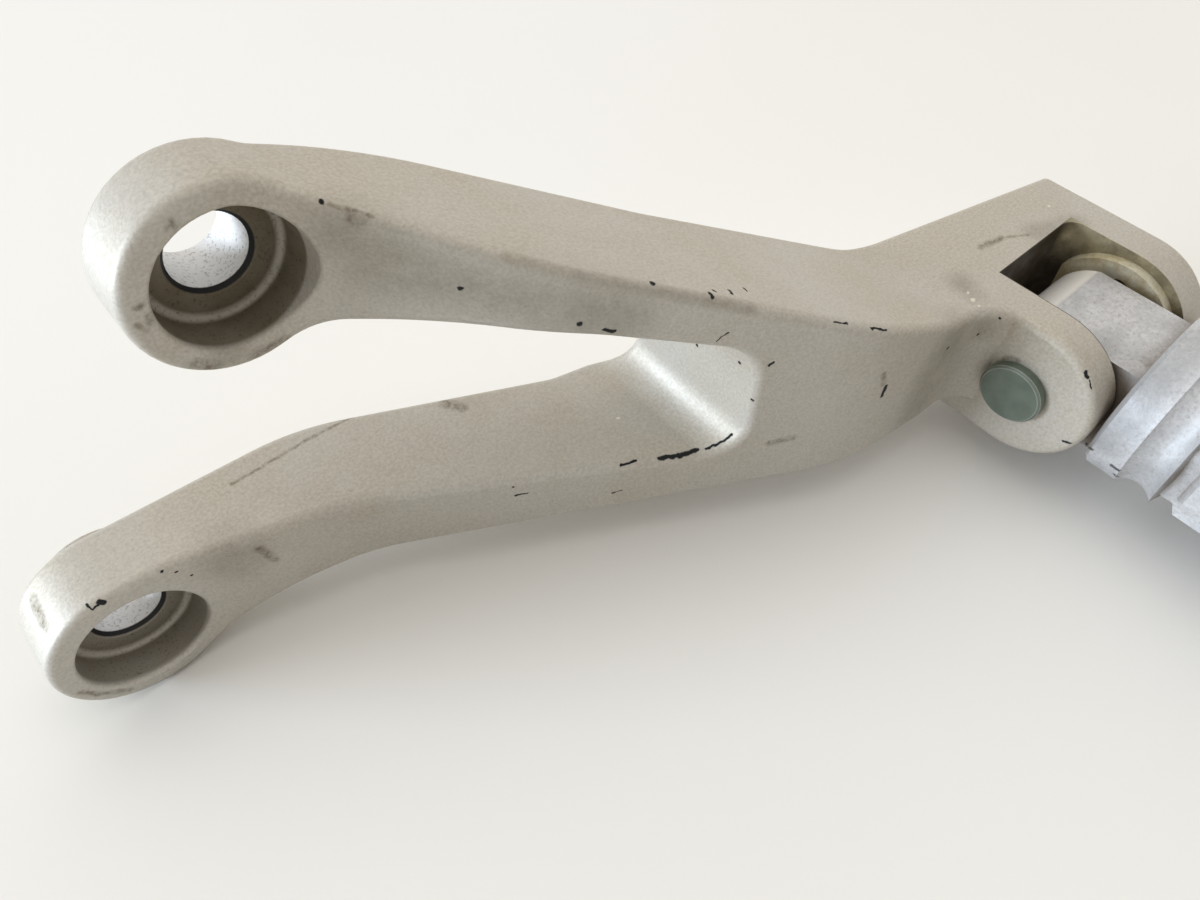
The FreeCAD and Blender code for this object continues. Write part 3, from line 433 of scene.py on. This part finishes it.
def recess_group():
    """Masks for one bolt recess: its wall and seat, a painted highlight on the ring at the seat's
    outer edge, the hole's edge and the bore behind it."""
    tree, given, result = new_group(
        "Bolt recess", [("Bolt", VECTOR, ORIGIN)], ["Inside", "Rim highlight", "Hole edge", "Bore"])
    offset = vector_calc(tree, "SUBTRACT", place_of(tree), given["Bolt"])
    axes = node(tree, "ShaderNodeSeparateXYZ", {0: offset}).outputs
    depth = axes["Y"]
    flat = node(tree, "ShaderNodeCombineXYZ", {"X": axes["X"], "Z": axes["Z"]})
    radius = vector_calc(tree, "LENGTH", flat.outputs["Vector"])

    within = fall(tree, radius, RECESS_RADIUS, start=0.05, end=0.35)
    deep = rise(tree, depth, RECESS_MOUTH_Y, start=0.5, end=1.4)
    inside = times(tree, within, deep)

    # A painted highlight on the rounded edge round the seat.
    outer = rise(tree, radius, RECESS_RADIUS, start=-1.5, end=-0.9)
    low = rise(tree, depth, RECESS_SEAT_Y, start=-0.9, end=-0.3)
    rim_highlight = times(tree, outer, times(tree, within, low))

    edge = fall(tree, radius, BOLT_HOLE_RADIUS, start=0.40, end=0.60)
    edge = times(tree, edge, within)
    edge = times(tree, edge, rise(tree, depth, RECESS_SEAT_Y, start=0.95, end=0.7))
    edge = times(tree, edge, rise(tree, depth, RECESS_SEAT_Y, start=-0.3, end=-0.1))

    behind = rise(tree, depth, RECESS_SEAT_Y, start=0.7, end=0.95)
    bore = times(tree, behind, fall(tree, radius, BOLT_HOLE_RADIUS, start=0.1, end=0.2))
    send(tree, result, **{"Inside": inside, "Rim highlight": rim_highlight, "Hole edge": edge, "Bore": bore})


def build_effects():
    """Makes the node groups that the materials share."""
    for make in (cast_grain_group, crevice_group, streak_group, dot_group, recess_group):
        make()


# Marks on the part, each named by where it is: the pixels along it in the photograph, and half its
# width in millimetres

CHIPS = {
    "crotch edge, long": (((659, 458), (678, 456), (697, 450)), 0.42),
    "crotch edge, right": (((706, 448), (720, 443), (732, 435)), 0.26),
    "crotch edge, left": (((621, 465), (636, 461)), 0.24),
    "upper arm underside dot": (((580, 324),), 0.45),
    "upper arm underside dash": (((604, 330), (614, 331)), 0.36),
    "upper arm front dot": (((460, 289),), 0.42),
    "top edge dot": (((652, 283),), 0.45),
    "top edge ring": (((709, 293), (713, 297)), 0.32),
    "top edge speck": (((715, 291),), 0.30),
    "top edge dash": (((729, 290), (732, 294)), 0.25),
    "top edge cross": (((744, 288), (747, 291)), 0.22),
    "web corner dot": (((740, 363),), 0.34),
    "web corner strokes": (((716, 341), (728, 333)), 0.12),
    "web corner stroke below": (((697, 345),), 0.30),
    "web dash": (((769, 366), (774, 362)), 0.22),
    "web dot": (((752, 400),), 0.32),
    "web front mark": (((886, 386), (882, 396)), 0.42),
    "lower arm dash": (((515, 496), (527, 493)), 0.22),
    "lower arm dot": (((513, 487),), 0.24),
    "lower arm bottom dash": (((612, 493), (622, 490)), 0.16),
    "ear edge": (((1086, 373), (1087, 377)), 0.38),
    "ear edge line": (((1089, 380), (1092, 391)), 0.13),
    "ear foot": (((1063, 441), (1070, 443)), 0.30),
    "ear dot left": (((948, 348),), 0.32),
    "ear dot": (((978, 334),), 0.30),
    "ear dot high": (((1000, 318),), 0.26),
    "web edge dash": (((871, 328), (886, 330)), 0.20),
    "web edge cluster": (((834, 322), (847, 324)), 0.16),
    "lower boss chip": (((99, 602), (103, 602)), 0.42),
    "lower boss chip foot": (((87, 604), (91, 610), (101, 604)), 0.16),
    "lower boss edge dots": (((162, 571),), 0.26),
    "lower boss edge dot right": (((177, 572),), 0.26),
    "lower boss edge dot far": (((192, 575),), 0.22),
    "arm top dot": (((322, 202),), 0.34),
    "boss foot scratch": (((290, 334), (304, 332), (318, 331)), 0.14),
}
SMUDGES = {
    "web top scratch": (((981, 247), (1002, 238)), 0.60),
    "web top scratch end": (((1002, 238), (1029, 235)), 0.30),
    "lower arm back edge": (((445, 403), (461, 407)), 1.0),
    "web front trail": (((884, 374), (884, 384)), 0.5),
    "boss foot": (((196, 366), (214, 367)), 1.0),
    "boss ring brown": (((172, 225),), 0.7),
    "boss ring left": (((137, 308), (141, 305)), 0.45),
    "boss ring low": (((148, 316), (151, 323)), 0.45),
    "boss ring lower": (((138, 326), (147, 331)), 0.40),
    "arm front left": (((351, 217), (358, 220)), 0.7),
    "arm front edge": (((330, 205), (372, 216)), 0.30),
    "lower boss side": (((33, 600), (38, 612), (46, 628)), 0.9),
    "lower boss ring": (((80, 692), (97, 694), (130, 690)), 0.45),
    "boss ring foot": (((255, 355), (285, 340)), 0.8),
    "pin rust": (((1000, 362), (1012, 359), (1018, 363)), 0.7),
    "parting line": (((352, 418), (312, 437), (268, 463), (232, 484)), 0.30),
    "lower arm scratches": (((258, 548), (276, 560)), 0.7),
    "web lower edge": (((770, 443), (792, 438)), 0.7),
}
# Broad soft darkening in the grime colour: painted shade in the valley beside the ear, along the arm
# fronts, round the boss foot and in the corner behind the slot.
SHADES = {
    "valley beside the ear": (((952, 340), (930, 372), (912, 412)), 4.0),
    "lower arm by the boss": (((235, 560), (300, 584), (350, 570)), 4.5),
    "upper arm front edge": (((507, 257), (590, 277), (670, 293), (751, 308)), 0.9),
    "dirt on the web top": (((960, 282), (985, 330)), 2.2),
    "upper arm by the boss": (((345, 235), (420, 270)), 4.0),
    "corner behind the slot": (((1035, 232), (1075, 222)), 2.0),
    "boss foot": (((230, 350), (330, 330)), 2.5),
    # Painted shade along the upper arm's front.
    "film on the upper arm": (((380, 265), (480, 290), (620, 318)), 4.5),
}
CRUMBS = {
    "web crumbs": (((973, 300),), 0.45),
    "web crumb left": (((968, 292),), 0.28),
    "web crumb right": (((979, 306),), 0.26),
    "web top speck": (((1049, 206),), 0.30),
    "lower arm speck": (((618, 418),), 0.30),
}
PEG_CHIPS = {
    "collar chip": (((1112, 466), (1118, 470)), 0.45),
    "collar chip low": (((1114, 474), (1119, 477)), 0.30),
    "collar edge": (((1086, 444), (1092, 449)), 0.30),
}
# Painted shade on the collar.
PEG_SHADES = {
    "collar": (((1105, 440), (1135, 405), (1165, 372), (1195, 345)), 3.2),
}
SHORTEST_RUN_SQUARED = 1e-12


def camera_axes(stage):
    """Right, up and back directions of the camera."""
    azimuth = stage.camera_azimuth
    elevation = stage.camera_elevation
    back = Vector((math.sin(azimuth) * math.cos(elevation), -math.cos(azimuth) * math.cos(elevation),
                   math.sin(elevation)))
    right = Vector((math.cos(azimuth), math.sin(azimuth), 0.0))
    return right, back.cross(right), back


def find_on(name, pixel):
    """The point of a node that a pixel of the photograph shows, or None."""
    stage = bpy.context.scene.footpeg_stage
    right, up, back = camera_axes(stage)
    focal = stage.lens / SENSOR_WIDTH * PHOTO_WIDTH
    across = (pixel[0] - PHOTO_WIDTH / 2) / focal
    down = (pixel[1] - PHOTO_HEIGHT / 2) / focal
    direction = (right * across - up * down - back).normalized()
    hit, spot, _, _ = frame["nodes"][name].ray_cast(Vector(stage.camera_place), direction)
    return spot if hit else None


def mark_mask(tree, place, name, marks, softness):
    """The strongest of many marks on a node. Each joins the rest as soon as it is made, because a
    shader can hold only so many values at a time."""
    mask = 0.0
    for pixels, half_width in marks.values():
        found = [spot for spot in (find_on(name, pixel) for pixel in pixels) if spot is not None]
        edge = {"Place": place, "Inner": half_width * MM * (1 - softness),
                "Outer": half_width * MM * (1 + softness)}
        if len(found) == 1:
            dot = use_group(tree, "Dot", Centre=found[0], **edge)
            mask = calc(tree, "MAXIMUM", mask, dot["Mask"])
        for start, end in zip(found, found[1:]):
            run = end - start
            slope = run / max(run.length_squared, SHORTEST_RUN_SQUARED)
            streak = use_group(tree, "Streak", Start=start, Run=run, Slope=slope, **edge)
            mask = calc(tree, "MAXIMUM", mask, streak["Mask"])
    return mask


# Materials


def new_material(name):
    """A material with only a Principled shader; returns it, its tree and the shader."""
    made = bpy.data.materials.new(name)
    made.use_nodes = True
    tree = made.node_tree
    tree.nodes.clear()
    shader = node(tree, "ShaderNodeBsdfPrincipled")
    node(tree, "ShaderNodeOutputMaterial", {"Surface": shader.outputs["BSDF"]})
    return made, tree, shader


def set_bump(tree, shader, height, strength, distance):
    """Raises the surface by a height."""
    bump = node(tree, "ShaderNodeBump", {"Height": height, "Strength": strength, "Distance": distance})
    tree.links.new(bump.outputs["Normal"], shader.inputs["Normal"])


def slot_masks(tree, place):
    """Between the ears of the clevis: one mask for all of it, and one for the far ear's face, strong
    near its top and fading out towards the bottom.
    """
    axes = node(tree, "ShaderNodeSeparateXYZ", {0: place}).outputs
    near = rise(tree, axes["X"], SLOT_NEAR_X, start=-0.2, end=-0.05)
    far = fall(tree, axes["X"], SLOT_FAR_X, start=0.05, end=0.2)
    inner = fall(tree, axes["Y"], SLOT_FLOOR_Y, start=0.05, end=0.2)
    slot = times(tree, times(tree, near, far), inner)
    face = rise(tree, axes["X"], SLOT_FAR_X, start=-3.0, end=-0.5)
    high = fade(tree, axes["Z"], FAR_EAR_DARK_Z, FAR_EAR_LIGHT_Z)
    return slot, times(tree, times(tree, slot, face), high)


PAINT_LIGHT_TONE = 1.3
OIL_WORN_OFF = 0.6
CLEAN_PEG_METALLIC = 0.4


def sprayed_paint(tree, place, settings, grain, cloudy):
    """The paint's own colour: cloudy, grained and pitted."""
    paint = rgba(settings.paint_colour)
    warm = tinted(settings.paint_colour, red=0.93, green=0.89, blue=0.82)
    light = toned(settings.paint_colour, PAINT_LIGHT_TONE)
    dark = toned(settings.paint_colour, tone=0.78)
    colour = blend(tree, cloudy, paint, warm)
    colour = cover(tree, colour, light, grain["Shade"], amount=0.5)
    pits = patches(tree, place, scale=1700.0, start=0.55, end=0.72, detail=2.0, roughness=0.6)
    return cover(tree, colour, dark, pits, amount=0.45)


def painted_casting(settings):
    """Satin paint, darkened in its corners by painted shade over brown grime, with brown bolt
    recesses, a slot dark with grease and painted shade, and chips.
    """
    made, tree, shader = new_material("Painted casting")
    place = place_of(tree)
    grain = use_group(tree, "Cast grain", Grain=2000.0)
    grime_and_shade = rgba(settings.grime_and_shade_colour)
    grease_and_shade = rgba(settings.grease_and_shade_colour)
    bare = rgba(settings.chip_colour)
    light = toned(settings.paint_colour, PAINT_LIGHT_TONE)
    cloudy = patches(tree, place, scale=38.0, start=0.35, end=0.7, detail=4.0, roughness=0.6)
    colour = sprayed_paint(tree, place, settings, grain, cloudy)

    # Corners darkened by ambient occlusion: painted shade, in the brown grime colour.
    dirt_and_shade = use_group(tree, "Crevice dirt", Reach=5 * MM, Amount=0.9)["Mask"]
    colour = cover(tree, colour, grime_and_shade, dirt_and_shade, amount=0.55)
    # Painted shade in broad patches, in the grime colour.
    shade = mark_mask(tree, place, "bracket", SHADES, softness=0.9)
    uneven = scaled(tree, noise(tree, place, scale=420.0), factor=0.35, base=0.10)
    colour = cover(tree, colour, grime_and_shade, shade, uneven)

    ragged = wobble(tree, place, scale=900.0, amount=0.9 * MM)
    blurred = wobble(tree, place, scale=500.0, amount=0.6 * MM)
    smudge = mark_mask(tree, blurred, "bracket", SMUDGES, softness=0.8)
    broken = patches(tree, place, scale=900.0, start=0.38, end=0.66, detail=4.0, roughness=0.7)
    smudge = times(tree, smudge, scaled(tree, broken, factor=0.45, base=0.2))
    colour = blend(tree, smudge, colour, grime_and_shade)

    specks = patches(tree, place, scale=2000.0, start=0.52, end=0.70, roughness=0.65)
    brown = scaled(tree, cloudy, factor=0.35, base=0.5)
    black = 0.0
    for bolt in (UPPER_BOLT, LOWER_BOLT):
        recess = use_group(tree, "Bolt recess", Bolt=bolt)
        colour = cover(tree, colour, grime_and_shade, recess["Inside"], brown)
        # The seat's rounded edge lightened: a painted highlight.
        colour = cover(tree, colour, light, recess["Rim highlight"], amount=0.55)
        colour = cover(tree, colour, rgba(settings.bore_colour), recess["Bore"], amount=0.95)
        within = calc(tree, "MAXIMUM", recess["Inside"], recess["Bore"])
        colour = cover(tree, colour, grease_and_shade, times(tree, within, specks), amount=0.45)
        colour = blend(tree, recess["Hole edge"], colour, bare)
        black = calc(tree, "MAXIMUM", black, recess["Hole edge"])

    slot, far_face = slot_masks(tree, place)
    patchy = patches(tree, place, scale=160.0, start=0.3, end=0.62, detail=5.0, roughness=0.65)
    # The slot painted near-black: old grease and painted shade.
    slot_grease_and_shade = times(tree, slot, scaled(tree, patchy, factor=0.15, base=0.85))
    colour = blend(tree, slot_grease_and_shade, colour, grease_and_shade)
    # Golden oil on the far ear's face, only near its top; below it, the slot's painted shade.
    oily = times(tree, far_face, inverse(tree, times(tree, patchy, OIL_WORN_OFF)))
    colour = blend(tree, oily, colour, rgba(settings.gold_colour))

    crumbs = mark_mask(tree, ragged, "bracket", CRUMBS, softness=0.4)
    colour = blend(tree, crumbs, colour, rgba(settings.crumb_colour))
    chip = mark_mask(tree, ragged, "bracket", CHIPS, softness=0.3)
    colour = blend(tree, chip, colour, bare)

    tree.links.new(colour, shader.inputs["Base Color"])
    rough = scaled(tree, cloudy, factor=0.08, base=settings.paint_roughness)
    rough = raised(tree, rough, smudge, amount=0.2)
    rough = raised(tree, rough, chip, amount=0.25)
    tree.links.new(rough, shader.inputs["Roughness"])
    dull = calc(tree, "MAXIMUM", calc(tree, "MAXIMUM", chip, slot_grease_and_shade), black)
    metal = times(tree, inverse(tree, dull), settings.paint_metal)
    metal = raised(tree, metal, oily, amount=0.5)
    tree.links.new(metal, shader.inputs["Metallic"])
    shader.inputs["Specular IOR Level"].default_value = 0.3
    set_bump(tree, shader, grain["Height"], strength=0.5, distance=0.16 * MM)
    return made


def bare_casting(settings):
    """Bare cast metal with brown grime and painted shade in its grooves, painted shade on the collar
    and a pale hinge lug end, worn and painted as lit.
    """
    made, tree, shader = new_material("Bare casting")
    place = place_of(tree)
    grain = use_group(tree, "Cast grain", Grain=1300.0)
    metal = rgba(settings.metal_colour)
    dull = toned(settings.metal_colour, tone=0.62)
    collar_shade_colour = toned(settings.metal_colour, tone=0.45)
    grime_and_shade = rgba(settings.grime_and_shade_colour)
    cloudy = patches(tree, place, scale=70.0, start=0.35, end=0.7, detail=4.0, roughness=0.6)
    colour = blend(tree, cloudy, metal, dull)
    colour = cover(tree, colour, dull, grain["Shade"], amount=0.45)
    pits = patches(tree, place, scale=1500.0, start=0.50, end=0.72, roughness=0.7)
    colour = cover(tree, colour, grime_and_shade, pits, amount=0.32)
    # Grooves darkened by ambient occlusion: painted shade, in the brown grime colour.
    dirt_and_shade = use_group(tree, "Crevice dirt", Reach=4.5 * MM, Amount=1.8)["Mask"]
    colour = cover(tree, colour, grime_and_shade, dirt_and_shade, amount=0.85)
    # Painted shade on the collar, laid on as a dark film.
    film_and_shade = mark_mask(tree, place, "footpeg", PEG_SHADES, softness=0.7)
    collar_shade_noise = noise(tree, place, scale=600.0, detail=4.0, roughness=0.65)
    colour = cover(tree, colour, collar_shade_colour, film_and_shade, scaled(tree, collar_shade_noise, factor=0.6, base=0.3))

    depth = node(tree, "ShaderNodeSeparateXYZ", {0: place}).outputs["Y"]
    # The lug's rounded end painted pale: painted light over wear.
    rubbed_and_lit = rise(tree, depth, LUG_END_Y, start=-0.6, end=0.6)
    colour = cover(tree, colour, rgba(settings.rubbed_and_lit_colour), rubbed_and_lit, amount=0.85)
    ragged = wobble(tree, place, scale=900.0, amount=0.9 * MM)
    chip = mark_mask(tree, ragged, "footpeg", PEG_CHIPS, softness=0.4)
    colour = cover(tree, colour, rgba(settings.chip_colour), chip, amount=0.85)

    tree.links.new(colour, shader.inputs["Base Color"])
    rough = scaled(tree, cloudy, factor=0.12, base=0.50)
    rough = raised(tree, rough, dirt_and_shade, amount=0.3)
    tree.links.new(rough, shader.inputs["Roughness"])
    shine = times(tree, inverse(tree, dirt_and_shade), CLEAN_PEG_METALLIC)
    tree.links.new(shine, shader.inputs["Metallic"])
    set_bump(tree, shader, grain["Height"], strength=0.6, distance=0.18 * MM)
    return made


def zinc_steel(settings):
    """Dull plating, worn bright and given a painted highlight along its edges."""
    made, tree, shader = new_material("Zinc plated steel")
    place = place_of(tree)
    grain = use_group(tree, "Cast grain", Grain=1200.0)
    cloudy = patches(tree, place, scale=300.0, start=0.3, end=0.7, detail=5.0, roughness=0.65)
    zinc = rgba(settings.zinc_colour)
    pale = toned(settings.zinc_colour, tone=1.5)
    colour = cover(tree, zinc, pale, cloudy, amount=0.5)
    # Pale edges from the bevel: worn plating and a painted highlight.
    bevel = node(tree, "ShaderNodeBevel", {"Radius": 0.35 * MM}, samples=6)
    face = node(tree, "ShaderNodeNewGeometry").outputs["Normal"]
    turn = vector_calc(tree, "DOT_PRODUCT", bevel.outputs["Normal"], face)
    edge = fade(tree, turn, start=0.985, end=0.93)
    colour = cover(tree, colour, rgba(settings.bright_colour), edge, amount=0.8)
    tree.links.new(colour, shader.inputs["Base Color"])
    rough = scaled(tree, cloudy, factor=0.15, base=0.36)
    tree.links.new(rough, shader.inputs["Roughness"])
    shader.inputs["Metallic"].default_value = 0.55
    set_bump(tree, shader, grain["Height"], strength=0.2, distance=0.05 * MM)
    return made


def stained_steel(settings):
    """A pale steel plate with brown stains."""
    made, tree, shader = new_material("Stained plate")
    place = place_of(tree)
    grain = use_group(tree, "Cast grain", Grain=1400.0)
    cloudy = patches(tree, place, scale=220.0, start=0.35, end=0.65, detail=5.0, roughness=0.65)
    stain = tinted(settings.plate_colour, red=0.62, green=0.54, blue=0.38)
    colour = blend(tree, cloudy, rgba(settings.plate_colour), stain)
    tree.links.new(colour, shader.inputs["Base Color"])
    rough = scaled(tree, cloudy, factor=0.25, base=0.3)
    tree.links.new(rough, shader.inputs["Roughness"])
    shader.inputs["Metallic"].default_value = 0.35
    set_bump(tree, shader, grain["Height"], strength=0.2, distance=0.05 * MM)
    return made


def polished_steel(settings):
    """Bright steel with smears of oil."""
    made, tree, shader = new_material("Polished steel")
    smear = patches(tree, place_of(tree), scale=500.0, start=0.4, end=0.7)
    oily = toned(settings.bright_colour, tone=0.6)
    colour = blend(tree, smear, rgba(settings.bright_colour), oily)
    tree.links.new(colour, shader.inputs["Base Color"])
    rough = scaled(tree, smear, factor=0.2, base=0.2)
    tree.links.new(rough, shader.inputs["Roughness"])
    shader.inputs["Metallic"].default_value = 1.0
    return made


def table_top(settings):
    """A pale, almost even table top."""
    made, tree, shader = new_material("Table top")
    shader.inputs["Roughness"].default_value = 0.6
    shader.inputs["Specular IOR Level"].default_value = 0.25
    soft = patches(tree, place_of(tree), scale=6.0, start=0.3, end=0.7, detail=2.0)
    warmer = tinted(settings.floor_colour, red=0.985, green=0.98, blue=0.97)
    colour = blend(tree, soft, rgba(settings.floor_colour), warmer)
    tree.links.new(colour, shader.inputs["Base Color"])
    return made


def finish_node(name, material):
    """Gives a CAD node one material in every slot."""
    slots = frame["nodes"][name].material_slots
    for slot in slots:
        slot.material = material
    if not slots:
        frame["nodes"][name].data.materials.append(material)


# The room


def room_light(settings):
    """A room, bright overhead and behind the part and dim in front of it, with a pale backdrop."""
    made = bpy.data.worlds.new("Room")
    made.use_nodes = True
    tree = made.node_tree
    background = tree.nodes["Background"]
    background.inputs["Color"].default_value = ROOM_COLOUR
    direction = node(tree, "ShaderNodeTexCoord").outputs["Generated"]
    facing = vector_calc(tree, "DOT_PRODUCT", direction, BRIGHT_SIDE)
    level = fade(tree, facing, start=-0.35, end=0.95,
                 low=settings.dim_strength, high=settings.bright_strength)
    rays = node(tree, "ShaderNodeLightPath").outputs
    seen = calc(tree, "MAXIMUM", rays["Is Camera Ray"], rays["Is Glossy Ray"])
    seen = calc(tree, "MAXIMUM", seen, rays["Is Transmission Ray"])
    unseen = times(tree, level, inverse(tree, seen))
    shown = times(tree, seen, settings.backdrop_strength)
    tree.links.new(calc(tree, "ADD", unseen, shown), background.inputs["Strength"])
    return made


def add_area_light(name, place, size, power, colour):
    """A rectangular light that faces the part."""
    lamp = bpy.data.lights.new(name, "AREA")
    lamp.shape = "RECTANGLE"
    lamp.size, lamp.size_y = size
    lamp.energy = power
    lamp.color = colour
    made = bpy.data.objects.new(name, lamp)
    made.location = place
    made.rotation_euler = (Vector(LIGHT_TARGET) - Vector(place)).to_track_quat("-Z", "Y").to_euler()
    bpy.context.scene.collection.objects.link(made)


def add_floor(scene, settings):
    """The table top, just under the part."""
    level = CAD_BOX[0][2] - FLOOR_GAP
    half = FLOOR_HALF_WIDTH
    corners = [(-half, -half, level), (half, -half, level), (half, half, level), (-half, half, level)]
    mesh = bpy.data.meshes.new("table_top")
    mesh.from_pydata(corners, [], [(0, 1, 2, 3)])
    mesh.materials.append(table_top(settings))
    floor = bpy.data.objects.new("table_top", mesh)
    scene.collection.objects.link(floor)


def add_camera(scene, settings):
    """The camera, where the photograph was taken."""
    camera = bpy.data.cameras.new("camera")
    camera.sensor_fit = "HORIZONTAL"
    camera.sensor_width = SENSOR_WIDTH
    camera.lens = settings.lens
    camera.clip_start = CAMERA_CLIP_START
    made = bpy.data.objects.new("camera", camera)
    right, up, back = camera_axes(settings)
    turn = Matrix((right, up, back)).transposed().to_4x4()
    made.matrix_world = Matrix.Translation(settings.camera_place) @ turn
    scene.collection.objects.link(made)
    scene.camera = made


# Operators


class FOOTPEG_OT_bracket(bpy.types.Operator):
    """Paint the cast bracket and place its chips and stains"""

    bl_idname = "footpeg.bracket"
    bl_label = "Painted bracket"

    def execute(self, context):
        finish_node("bracket", painted_casting(context.scene.footpeg_bracket))
        return {"FINISHED"}


class FOOTPEG_OT_peg(bpy.types.Operator):
    """Finish the cast peg as bare aluminium with dirt in its grooves"""

    bl_idname = "footpeg.peg"
    bl_label = "Bare peg"

    def execute(self, context):
        finish_node("footpeg", bare_casting(context.scene.footpeg_peg))
        return {"FINISHED"}


class FOOTPEG_OT_hinge(bpy.types.Operator):
    """Finish the hinge pin, its washer and its split pin"""

    bl_idname = "footpeg.hinge"
    bl_label = "Hinge hardware"

    def execute(self, context):
        zinc = zinc_steel(context.scene.footpeg_hardware)
        for name in ("clevis_pin", "pin_washer", "split_pin"):
            finish_node(name, zinc)
        return {"FINISHED"}


class FOOTPEG_OT_click(bpy.types.Operator):
    """Finish the click plate, ball and spring"""

    bl_idname = "footpeg.click"
    bl_label = "Click parts"

    def execute(self, context):
        hardware = context.scene.footpeg_hardware
        finish_node("click_plate", stained_steel(hardware))
        steel = polished_steel(hardware)
        for name in ("click_ball", "click_spring"):
            finish_node(name, steel)
        return {"FINISHED"}


class FOOTPEG_OT_stage(bpy.types.Operator):
    """Lay the table top, set the lights and stand the camera where the photograph was taken"""

    bl_idname = "footpeg.stage"
    bl_label = "Stage"

    def execute(self, context):
        scene = context.scene
        settings = scene.footpeg_stage
        add_floor(scene, settings)
        scene.world = room_light(settings)
        add_area_light("window", WINDOW_PLACE, WINDOW_SIZE, settings.window_power, WINDOW_COLOUR)
        add_area_light("ceiling", CEILING_PLACE, CEILING_SIZE, settings.ceiling_power, CEILING_COLOUR)
        add_camera(scene, settings)
        scene.view_settings.view_transform = "Standard"
        return {"FINISHED"}


class FOOTPEG_PT_panel(bpy.types.Panel):
    """Lists the footpeg's operators and settings"""

    bl_label = "Passenger footpeg"
    bl_space_type = "VIEW_3D"
    bl_region_type = "UI"
    bl_category = "Footpeg"

    def draw(self, context):
        for operator in OPERATORS:
            self.layout.operator(operator.bl_idname)
        for group_name, group in SETTINGS.items():
            box = self.layout.box()
            box.label(text=group.__doc__)
            for name in group.__annotations__:
                box.prop(getattr(context.scene, group_name), name)


SETTINGS = {
    "footpeg_stage": FootpegStageSettings,
    "footpeg_bracket": FootpegBracketSettings,
    "footpeg_peg": FootpegPegSettings,
    "footpeg_hardware": FootpegHardwareSettings,
}
OPERATORS = (FOOTPEG_OT_bracket, FOOTPEG_OT_peg, FOOTPEG_OT_hinge, FOOTPEG_OT_click, FOOTPEG_OT_stage)


def register():
    """Adds the settings, the operators and the panel."""
    for group_name, group in SETTINGS.items():
        bpy.utils.register_class(group)
        setattr(bpy.types.Scene, group_name, bpy.props.PointerProperty(type=group))
    for operator in OPERATORS:
        bpy.utils.register_class(operator)
    bpy.utils.register_class(FOOTPEG_PT_panel)


def unregister():
    """Takes out what register added."""
    bpy.utils.unregister_class(FOOTPEG_PT_panel)
    for operator in reversed(OPERATORS):
        bpy.utils.unregister_class(operator)
    for group_name, group in SETTINGS.items():
        delattr(bpy.types.Scene, group_name)
        bpy.utils.unregister_class(group)


def main():
    """Finishes every node and sets the stage."""
    register()
    build_effects()
    bpy.ops.footpeg.bracket()
    bpy.ops.footpeg.peg()
    bpy.ops.footpeg.hinge()
    bpy.ops.footpeg.click()
    bpy.ops.footpeg.stage()


if __name__ == "__main__":
    main()
